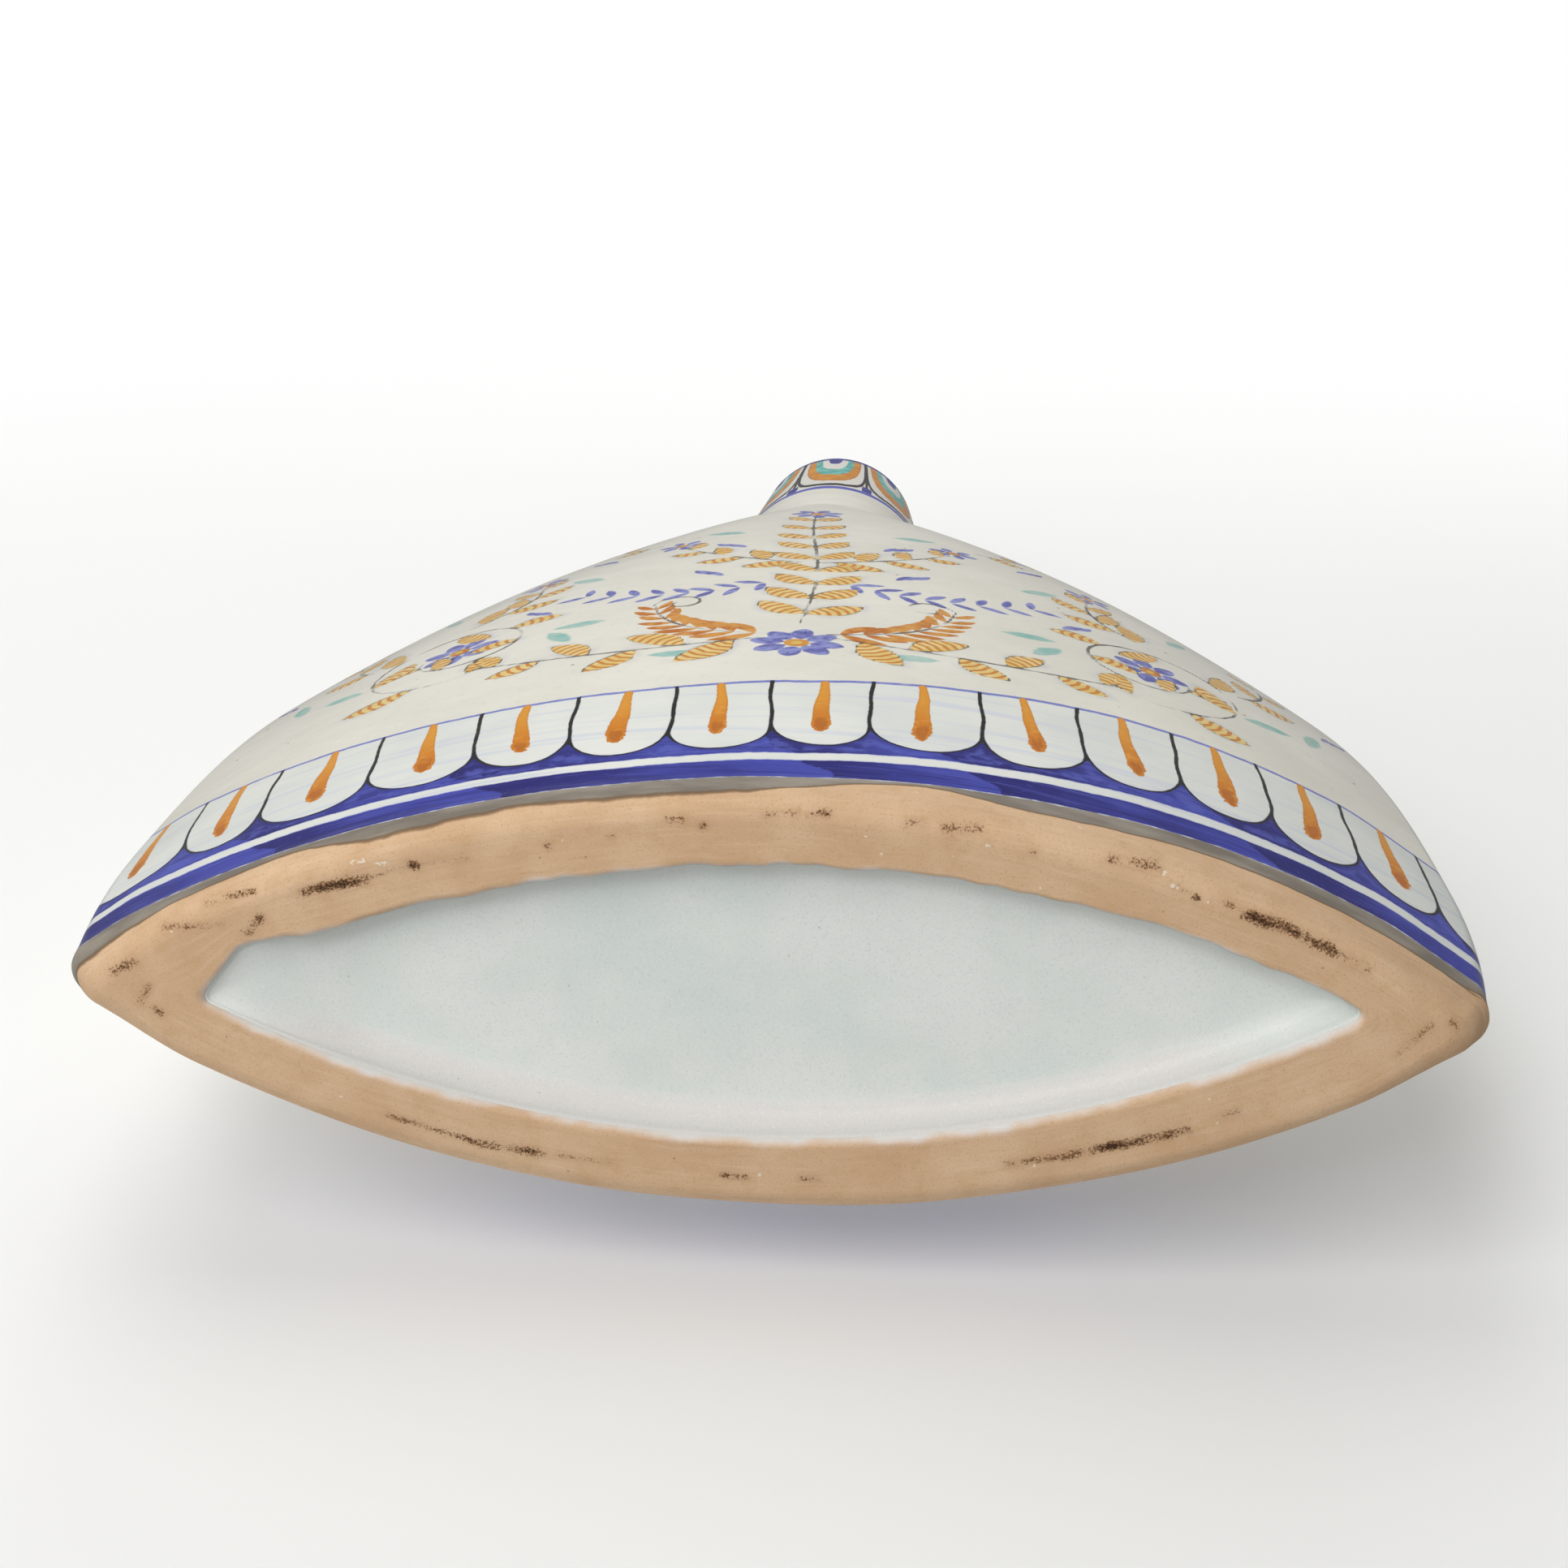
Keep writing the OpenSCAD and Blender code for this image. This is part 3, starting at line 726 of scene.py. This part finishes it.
# The field's painting: leaf sprays in ochre and orange, outlined in thin dark ink, with blue flowers, commas
# and dabs of teal, drawn with a fine brush on the cream glaze. Scrolls stand on each side of an upright stem.
# The same brushwork, sparser, is on the back.

FIELD_GRID = (48, 30, 8)
LEAF_STRIPE = 2.7


class Spray:
    """Brush marks on the unrolled wall, at s along the section and z up in mm, kept as signed distances.
    With side at -1 a mark is drawn on the left, not the right, and the hand shakes a little each time."""

    def __init__(self, s, z, seed):
        self.s, self.z, self.side = s, z, 1
        self.draw = np.random.default_rng(seed)
        self.marks = {name: np.full(s.shape, 9.0) for name in ("leaf", "ink", "blue", "teal", "ember")}
        self.marks["vein"] = np.zeros(s.shape)

    def near(self, z0, reach):
        """The rows of the wall round a mark, so that each mark is worked out only where it shows."""
        rows = np.flatnonzero(np.abs(self.z[:, 0] - z0) < reach)
        return slice(rows[0], rows[-1] + 1) if rows.size else None

    def stroke(self, kind, path, wide):
        """A brush line through points: distance to the nearest straight piece, less a half width that swells
        in the middle of the line and thins at its ends."""
        path = np.asarray(path, dtype=float) * (self.side, 1)
        share = np.linspace(0, 1, len(path))
        half = wide / 2 * (0.45 + 0.55 * np.sin(np.pi * np.clip(share * 0.9 + 0.05, 0, 1)))
        for k in range(len(path) - 1):
            (x0, y0), (x1, y1) = path[k], path[k + 1]
            part = self.near((y0 + y1) / 2, abs(y1 - y0) / 2 + wide + 4)
            if part is None:
                continue
            away = near_line(self.s[part], self.z[part], x0, y0, x1, y1) - (half[k] + half[k + 1]) / 2
            self.marks[kind][part] = np.minimum(self.marks[kind][part], away)

    def leaf(self, s0, z0, angle, length, wide, kind="leaf", bend=0.0):
        """A pointed leaf from its foot: the space shared by two circles, on an axis that bends sideways."""
        part = self.near(z0, length + 4)
        if part is None:
            return
        angle = angle + self.draw.normal(0, 0.06)
        length = length * self.draw.uniform(0.94, 1.06)
        ds, dz = self.s[part] * self.side - s0, self.z[part] - z0
        along = ds * np.cos(angle) + dz * np.sin(angle) - length / 2
        side = -ds * np.sin(angle) + dz * np.cos(angle) - bend * (1 - (2 * along / length) ** 2)
        big = (length ** 2 / 4 + wide ** 2 / 4) / wide
        away = np.hypot(along, np.abs(side) + big - wide / 2) - big
        mark, ink = self.marks[kind][part], self.marks["ink"][part]
        if kind == "leaf":
            rib = along + length / 2 + 0.25 * np.abs(side)
            self.marks["vein"][part] = np.where(away < mark, rib, self.marks["vein"][part])
            self.marks["ink"][part] = np.where(mark < -0.3, ink, np.minimum(ink, np.abs(away) - 0.24))
        self.marks[kind][part] = np.minimum(mark, away)

    def flower(self, s0, z0, size, petals):
        """A round flower: blue petals parted by ink round an ochre middle with an orange ring."""
        turn = self.draw.uniform(0, np.pi)
        for angle in turn + 2 * np.pi * np.arange(petals) / petals:
            way = np.array([np.cos(angle), np.sin(angle)])
            at = np.array([s0, z0])
            self.leaf(*(at + 0.28 * size * way), angle, 0.78 * size, 0.5 * size, "blue")
            self.stroke("ink", [at + 0.4 * size * way, at + 1.0 * size * way], 0.4)
        part = self.near(z0, size)
        away = np.hypot(self.s[part] * self.side - s0, self.z[part] - z0)
        self.marks["ember"][part] = np.minimum(self.marks["ember"][part], away - 0.28 * size)
        self.marks["ink"][part] = np.minimum(self.marks["ink"][part], np.abs(away - 0.29 * size) - 0.25)

    def vine(self, path, leaves, size, spread=0.75, wide=0.9, kind="leaf", slim=0.46, pairs=False):
        """A stem along points with leaves on it, left and right by turns or in pairs, shorter to its end."""
        path = np.asarray(path, dtype=float)
        self.stroke("ink", path, wide)
        for k in range(leaves):
            share = (k + 0.6) / (leaves + 0.2)
            spot = share * (len(path) - 1)
            i = min(int(spot), len(path) - 2)
            at = path[i] + (path[i + 1] - path[i]) * (spot - i)
            heading = math.atan2(path[i + 1][1] - path[i][1], path[i + 1][0] - path[i][0])
            long = 0.88 * size * (1.05 - 0.42 * share)
            for hand in ((-1, 1) if pairs else (1 if k % 2 else -1,)):
                self.leaf(*at, heading + spread * hand, long, long * slim, kind, 0.07 * long * hand)

    def swag(self, path, first, last):
        """Pairs of small blue leaves along points, turned evenly from the first angle to the last."""
        for (s0, z0), heading in zip(path, np.linspace(first, last, len(path))):
            for hand in (0.8, -0.8):
                self.leaf(s0, z0, heading + hand, 9, 2.8, "blue")

    def dabs(self, long, wide, *spots):
        """Single teal strokes, each at its place and angle."""
        for s0, z0, angle in spots:
            self.leaf(s0, z0, angle, long, wide, "teal")

    def commas(self, long, wide, *spots):
        """Rows of three blue commas, each shorter than the one before by 1 mm."""
        for s0, z0 in spots:
            for k in range(3):
                self.leaf(s0 + 3.0 * k, z0 + 2.2 * k, 1.0, long - k, wide, "blue")


def curl(s0, z0, start, turns, outer, inner, steps=34):
    """A spiral inwards round a middle point: the radius falls evenly from outer to inner over the turns."""
    share = np.linspace(0, 1, steps)
    angle, radius = start + turns * 2 * np.pi * share, outer + (inner - outer) * share
    return np.stack([s0 + radius * np.cos(angle), z0 + radius * np.sin(angle)], -1)


def bow(a, b, c, steps=22):
    """A curve from a to c drawn towards b: each point is the blend of the two straight runs."""
    w = np.linspace(0, 1, steps)[:, None]
    a, b, c = (np.array(v, dtype=float) for v in (a, b, c))
    return (1 - w) ** 2 * a + 2 * w * (1 - w) * b + w ** 2 * c


def front_painting(s, z):
    """The front: a rosette low in the middle, a leafy scroll and a curled frond on each side of it, an
    upright stem with paired leaves above, and a swag of small blue leaves between them."""
    spray = Spray(s, z, 31)
    for spray.side in (1, -1):
        spray.vine(bow((9, 113), (46, 101), (86, 116)), 6, 23)
        spray.vine(curl(93, 138, -1.8, 1.3, 28, 10), 9, 20, 0.95)
        spray.flower(93, 139, 10.5, 7)
        spray.vine(bow((7, 116), (36, 120), (40, 148)), 9, 15, 0.62, 1.0, "ember", 0.3, True)
        spray.stroke("ink", curl(33, 149, 0.0, 1.1, 7.5, 1.8), 0.9)
        spray.vine(bow((96, 167), (74, 180), (82, 208)), 6, 19)
        spray.flower(82, 213, 7.5, 6)
        spray.vine(bow((120, 150), (134, 160), (130, 186)), 4, 17)
        spray.vine(bow((2, 190), (26, 196), (40, 222)), 6, 17)
        spray.flower(41, 227, 7, 6)
        spray.vine(bow((48, 236), (64, 238), (70, 258)), 4, 13)
        spray.swag(bow((12, 166), (34, 150), (62, 172), 8), -0.5, 0.8)
        spray.dabs(15, 5.2, (22, 101, 0.1), (60, 124, 0.9), (118, 128, 0.3), (60, 192, 0.6), (104, 186, 1.2),
                   (22, 236, 0.4), (138, 132, 1.3), (52, 140, 0.2))
        spray.commas(8, 2.4, (24, 176), (110, 216), (146, 150), (20, 212), (60, 220), (70, 158))
    spray.side = 1
    up = np.linspace(0, 1, 44)
    spray.vine(np.stack([2.2 * np.sin(5 * up), 126 + 138 * up], -1), 9, 20, 0.85, pairs=True)
    spray.flower(-2, 271, 8.5, 7)
    spray.flower(0, 108, 11.5, 8)
    return spray.marks


def back_painting(s, z):
    """The back: a tall sprig between two shorter ones, with small scrolls, a swag and blue commas between."""
    spray = Spray(s, z, 32)
    up = np.linspace(0, 1, 40)
    spray.vine(np.stack([4 * np.sin(5 * up), 102 + 130 * up], -1), 9, 23, 0.8)
    spray.flower(-4, 240, 9.5, 7)
    for spray.side in (1, -1):
        spray.vine(np.stack([84 + 20 * up ** 1.4 + 3 * np.sin(5 * up), 102 + 80 * up], -1), 7, 21, 0.8)
        spray.flower(104, 190, 8.5, 7)
        spray.stroke("ink", curl(136, 132, 2.2, -1.1, 10, 3), 0.9)
        spray.vine(bow((14, 108), (40, 100), (60, 114)), 4, 17)
        spray.vine(curl(46, 154, -2.2, 1.2, 19, 7), 7, 14, 0.95)
        spray.flower(46, 154, 7.5, 6)
        spray.vine(bow((108, 114), (124, 102), (146, 112)), 4, 15)
        spray.vine(bow((10, 246), (30, 244), (44, 264)), 4, 12)
        spray.swag(bow((28, 204), (54, 190), (84, 216), 8), -0.4, 0.8)
        spray.dabs(14, 5.0, (22, 128, 0.5), (70, 184, 1.0), (116, 140, 0.4), (24, 184, 0.8), (118, 168, 1.1))
        spray.commas(9, 2.6, (74, 128), (130, 162), (22, 226), (62, 236), (108, 206))
    return spray.marks


def field_paint():
    """The field's colours on the cream ground: teal and blue washes, striped leaves, orange middles, ink."""
    paint = Finish("painted_field")
    names = ("leaf", "vein", "ink", "blue", "teal", "ember")
    leaf, vein, ink, blue, teal, ember = (paint.read(name) for name in names)
    rag = paint.shake(2.6, 3)

    def inside_of(mark, shake, soft, hard):
        """Where a mark's distance, moved by the shake of the hand, falls from soft to hard."""
        return paint.step(paint.scaled(rag, shake, mark), soft, hard)

    shade = paint.times(paint.step(leaf, 3.4, 0.2), 0.28)
    thinned = paint.scaled(paint.noise(5, 3), 0.9, 0.2)
    blues = paint.mix(paint.patch(4, 3, 0.38, 0.62), "#3d43a6", "#7f87cc")
    ochre = paint.mix(paint.patch(6, 3, 0.35, 0.65), "#ead087", "#e0bd62")
    wave = paint.sum("SINE", paint.scaled(rag, 1.6, paint.times(vein, 2 * math.pi / LEAF_STRIPE)))
    stripe = paint.times(paint.step(wave, 0.0, 0.5), paint.step(leaf, -0.1, -0.45))
    rust = paint.layers(
        "#bd6c1e", (paint.patch(5, 4, 0.38, 0.62), "#d79a45"), (paint.step(ember, -1.5, -2.1), "#dfbb5e"))
    line = paint.times(inside_of(ink, 0.35, 0.22, -0.08), paint.patch(11, 2, 0.3, 0.52))
    tone = paint.layers(
        tin_white(paint), (shade, "#a9adc4", paint.patch(9, 3, 0.42, 0.62)),
        (inside_of(teal, 1.4, 0.5, -0.7), "#5fb3ab", thinned),
        (inside_of(blue, 0.8, 0.3, -0.3), blues, 0.9), (inside_of(leaf, 0.6, 0.15, -0.15), ochre, 0.94),
        (stripe, "#c9781f", 0.88), (inside_of(ember, 0.6, 0.2, -0.2), rust), (line, "#3a3431", 0.86))
    return paint.end(tone, 0.16, paint.noise(18, 2), 0.22)


field_glaze = field_paint()
for label, back, painting in (("front", False, front_painting), ("back", True, back_painting)):
    mesh, t, z, way = sheet_of_glaze(label + "_field_coat", BORDER_TOP, WALL_TOP, FIELD_GRID, back)
    carry(mesh, t.shape, **painting(way, z))
    place_piece(mesh, field_glaze, "painted_glaze", label + "_glaze")


# Neck: a short thrown cone under white glaze, with faint throwing rings. Eight long panels hang from the rim,
# outlined in dark ink and filled with nested bands of amber, teal and white round a cobalt eye. A blue line
# closes them off below, the glaze turns over the rim in a soft roll, and a skirt of it covers the joint.

NECK_LOW, NECK_TOP, NECK_R, RIM_R, MOUTH_R = WALL_TOP, 410.0, 37.5, 29.0, 23.6
RIM_ROLL, RIM_UNDER, COAT_TOP = 2.0, 409.22, 408.4
PANELS, PANEL_TURN, PANEL_H, NECK_LINE, RIM_BAND = 8, math.radians(-1.5), 70.0, 336.0, 408.0
SKIRT_TOP, SKIRT_LOW = 306.5, 297.0


def cone(z, inset=0.0):
    """The neck's radius at heights z, less an inset, as rows of (radius, height)."""
    radius = NECK_R + (RIM_R - NECK_R) * (z - NECK_LOW) / (NECK_TOP - NECK_LOW)
    return list(zip(radius - inset, z))


def neck_rows():
    """Rows of (radius, height) up the cone, over the rolled rim, across its top, and down behind the coat.
    Gives the rows and how many of them show."""
    shown = cone(np.linspace(NECK_LOW, NECK_TOP - RIM_ROLL, 176))
    lip = shown[-1][0]
    shown += [(lip - RIM_ROLL * (1 - math.cos(q)), NECK_TOP - RIM_ROLL + RIM_ROLL * math.sin(q))
              for q in np.linspace(0, math.pi / 2, 9)[1:]]
    shown += [(r, NECK_TOP) for r in np.linspace(lip - RIM_ROLL, MOUTH_R + 0.7, 5)[1:]]
    turn = [(MOUTH_R + 0.2, NECK_TOP - 0.15), (MOUTH_R, NECK_TOP - 0.45), (MOUTH_R, RIM_UNDER)]
    under = [(lip - COAT, RIM_UNDER)] + cone(np.linspace(COAT_TOP, NECK_LOW, 8), COAT)
    return np.array(shown + turn + under), len(shown)


neck_profile, shown_count = neck_rows()
turns = np.linspace(-np.pi, np.pi, 400, endpoint=False)
neck_r, neck_z = neck_profile[:, :1], neck_profile[:, 1:]
shown = (np.arange(len(neck_profile)) < shown_count)[:, None]
calm = ease((neck_z - 304) / 20) * ease((404 - neck_z) / 10)
neck_wave = 0.012 * np.sin(neck_z / 2.1 + 0.6 * np.sin(turns)) + 0.15 * np.sin(2 * turns + 1)
joint_x, joint_y, _ = lens_loop(np.linspace(-2, 2, 2000, endpoint=False), *body_lens(SKIRT_LOW, 0.0))
joint_r = np.interp(turns, np.arctan2(joint_x, -joint_y), np.hypot(joint_x, joint_y), period=2 * np.pi)
skirt = shown * np.clip((SKIRT_TOP - neck_z) / (SKIRT_TOP - NECK_LOW), 0, 1)
sunk = (SKIRT_TOP - NECK_LOW) * skirt * (1 - skirt) + (NECK_LOW - SKIRT_LOW + CLEAR) * skirt ** 2
neck_r = neck_r + shown * neck_wave * calm + (joint_r - NECK_R) * skirt ** 2
neck_points = np.broadcast_arrays(neck_r * np.sin(turns), -neck_r * np.cos(turns), neck_z - sunk)
neck_mesh = shell("neck_coat", np.stack(neck_points, axis=-1)[::-1], closed_rows=True)
neck_mesh.set_sharp_from_angle(angle=math.radians(50))

neck_draw = np.random.default_rng(41)
turn_in = (turns - PANEL_TURN) / (2 * np.pi / PANELS) + 0.5
panel = np.floor(turn_in).astype(int) % PANELS
aside = 2 * (turn_in - np.floor(turn_in)) - 1
wobble_h = neck_draw.uniform(-1.5, 1.5, PANELS)[panel]
wobble_s = neck_draw.uniform(-0.03, 0.03, PANELS)[panel]
hang = np.clip((NECK_TOP - neck_z + wobble_h) / PANEL_H, 0, 3)
leaning = np.abs(aside + wobble_s * (1 - aside ** 2))[None, :]
neck_marks = dict(
    eye=(leaning ** 2.7 + hang ** 3.0) ** (1 / 2.7), panel_edge=(leaning ** 5 + hang ** 5) ** (1 / 5),
    hang=hang, aside=leaning, ring_line=neck_z - NECK_LINE - 0.5 * np.sin(2 * turns + 0.7), rim=neck_z)
carry(neck_mesh, hang.shape, **{name: marks[::-1] for name, marks in neck_marks.items()})


def neck_paint():
    """The panels' colours out from the eye: cobalt, white, teal, amber, white and the dark outline."""
    paint = Finish("painted_neck", 0.06)
    rag = paint.shake(3.0, 3)
    eye = paint.scaled(rag, 0.045, paint.read("eye"))
    edge = paint.scaled(rag, 0.03, paint.read("panel_edge"))
    aside, hang, ring_line = (paint.read(n) for n in ("aside", "hang", "ring_line"))
    panel_white = paint.mix(paint.noise(9, 3), "#dedcd2", "#e9e7de")
    amber = paint.layers(
        "#c97b06", (paint.patch(4, 4, 0.36, 0.62), "#dc9716"), (paint.step(eye, 0.78, 0.83), "#bb6e08"))
    teal = paint.mix(paint.patch(4, 4, 0.36, 0.64), "#45a198", "#7cc8c0")
    cobalt = paint.mix(paint.patch(3, 3, 0.4, 0.65), "#26257c", "#3b3b9c")
    bands = ((0.825, amber), (0.6, teal), (0.4, panel_white), (0.215, cobalt))
    outline = paint.times(paint.step(edge, 0.932, 0.946), paint.step(edge, 1.01, 0.998))
    parting = paint.times(paint.step(aside, 0.955, 0.967), paint.step(hang, 0.92, 0.88))
    wedge = paint.times(paint.step(edge, 1.008, 1.02), paint.step(hang, 0.85, 0.9))
    wedge = paint.times(wedge, paint.step(paint.scaled(rag, 0.06, aside), 0.85, 0.875))
    wedge = paint.times(wedge, paint.step(ring_line, -0.4, 0.2))
    off_line = paint.sum("ABSOLUTE", paint.scaled(rag, 0.8, ring_line))
    line_blue = paint.mix(paint.noise(9, 2), "#4144ac", "#6267c0")
    off_rim = paint.sum("ABSOLUTE", paint.less(paint.scaled(rag, 0.9, paint.read("rim")), RIM_BAND))
    tone = paint.layers(
        tin_white(paint), (paint.step(edge, 0.985, 0.965), panel_white),
        *((paint.step(eye, reach + 0.02, reach), colour) for reach, colour in bands),
        (paint.sum("MAXIMUM", outline, parting), "#1e1c1c"), (wedge, cobalt),
        (paint.step(off_line, 4.2, 2.4), "#b3b2da", 0.5), (paint.step(off_line, 3.0, 2.3), line_blue),
        (paint.step(off_rim, 4.4, 3.4), cobalt, 0.92))
    return paint.end(tone, 0.16, paint.noise(16, 2), 0.22)


place_piece(neck_mesh, neck_paint(), "painted_glaze", "neck_glaze")


# Studio: a plain pale floor under the foot, a plain pale sheet behind the vase's back, which takes its
# shadow, and a white cove round both. Soft lamps stand in front of, below, behind and above the vase.

FAR = 8.0
SHEET_Y, SHEET_LEAN = 0.0685, math.tan(math.radians(4.4))
SHEET_HALF, SHEET_LOW, SHEET_HIGH = 1.6, -0.5, 1.1
WHITE_FROM, WHITE_AT = 0.25, 0.85
WHITE = (1.0, 1.0, 1.0, 1.0)


def one_sided(mesh, tone):
    """A pale sheet that shows only its front, so that the camera can look through it from behind. It takes
    the vase's shadow, and further off it turns an even white."""
    paper = Finish(mesh.name)
    mesh.materials.append(paper.end(paper.mix(paper.noise(300, 2), tone, "#f4f4f2"), 0.9))
    away = paper.add("VectorMath", {0: paper.place, 1: (0.0, 0.0, 0.1)}, operation="DISTANCE")
    white = paper.add("Emission", {0: WHITE, 1: 1.0})
    fade = paper.add("MixShader", {0: paper.step(away.outputs["Value"], WHITE_FROM, WHITE_AT),
                                   1: paper.shader.outputs[0], 2: white.outputs[0]})
    seen = paper.add("MixShader", {0: paper.add("NewGeometry").outputs["Backfacing"],
                                   1: fade.outputs[0], 2: paper.add("BsdfTransparent").outputs[0]})
    paper.feed(paper.tree.nodes["Material Output"].inputs[0], seen.outputs[0])
    sheet = bpy.data.objects.new(mesh.name, mesh)
    bpy.context.scene.collection.objects.link(sheet)
    sheet.visible_shadow = sheet.visible_diffuse = sheet.visible_glossy = sheet.visible_transmission = False


corners = ((-1, 0), (1, 0), (1, 1), (-1, 1))
floor_corners = [(FAR * x, FAR * (2 * y - 1), 0) for x, y in corners]
sheet_heights = (SHEET_LOW, SHEET_HIGH)
sheet_corners = [(SHEET_HALF * x, SHEET_Y - SHEET_LEAN * sheet_heights[k], sheet_heights[k])
                 for x, k in corners]
for name, places in (("pale_floor", floor_corners), ("pale_sheet", sheet_corners)):
    flat = bpy.data.meshes.new(name)
    flat.from_pydata(places, [], [(0, 1, 2, 3)])
    one_sided(flat, "#f1f1ef")
rise, round_about = np.meshgrid(np.linspace(-1.5, 1.5, 30), np.linspace(-np.pi, np.pi, 64, endpoint=False),
                                indexing="ij")
cove = np.stack([np.cos(rise) * np.sin(round_about), -np.cos(rise) * np.cos(round_about), np.sin(rise)], -1)
one_sided(shell("white_cove", cove * FAR * 1.6 / MM), "#f4f4f2")

# name, place and size in metres, power in watts
lamps = (
    ("front_softbox", (-0.6, -1.0, -0.82), 1.0, 12.0),
    ("low_softbox", (-0.25, -0.3, -1.3), 1.2, 6.0),
    ("face_softbox", (-0.4, -1.5, 0.5), 1.0, 5.7),
    ("back_softbox", (-0.4, 1.5, 0.5), 1.2, 13.0),
    ("top_softbox", (0.1, -0.6, 1.7), 1.2, 17.5),
)
LAMP_AIM = np.array([0.0, 0.0, 0.15])
for name, spot, size, power in lamps:
    light = bpy.data.lights.new(name, "AREA")
    light.energy, light.size = power, size
    lamp = bpy.data.objects.new(name, light)
    bpy.context.scene.collection.objects.link(lamp)
    lamp.location = spot
    lamp.visible_camera = False
    lamp.visible_glossy = name != "top_softbox"
    aim = LAMP_AIM - np.array(spot)
    lamp.rotation_euler = (math.atan2(math.hypot(aim[0], aim[1]), -aim[2]), 0, math.atan2(-aim[0], aim[1]))

world = bpy.data.worlds.new("even_surround")
bpy.context.scene.world = world
world.use_nodes = True
surround = world.node_tree.nodes["Background"]
surround.inputs["Color"].default_value = WHITE
surround.inputs["Strength"].default_value = 0.28


# Camera: below the foot and in front, looking up along the body as at a vase laid on its back. Its lens and
# place were fitted to the vase's outline.

lens_data = bpy.data.cameras.new("foot_view")
lens_data.sensor_fit = "HORIZONTAL"
lens_data.sensor_width = 36.0
lens_data.lens = 50.31
lens_data.clip_start, lens_data.clip_end = 0.01, 60.0
viewer = bpy.data.objects.new("foot_view", lens_data)
bpy.context.scene.collection.objects.link(viewer)
viewer.location = (0.026, -0.20951, -0.41336)
viewer.rotation_euler = tuple(math.radians(v) for v in (159.193, -3.393, -0.639))
bpy.context.scene.camera = viewer
bpy.context.scene.view_settings.view_transform = "Standard"
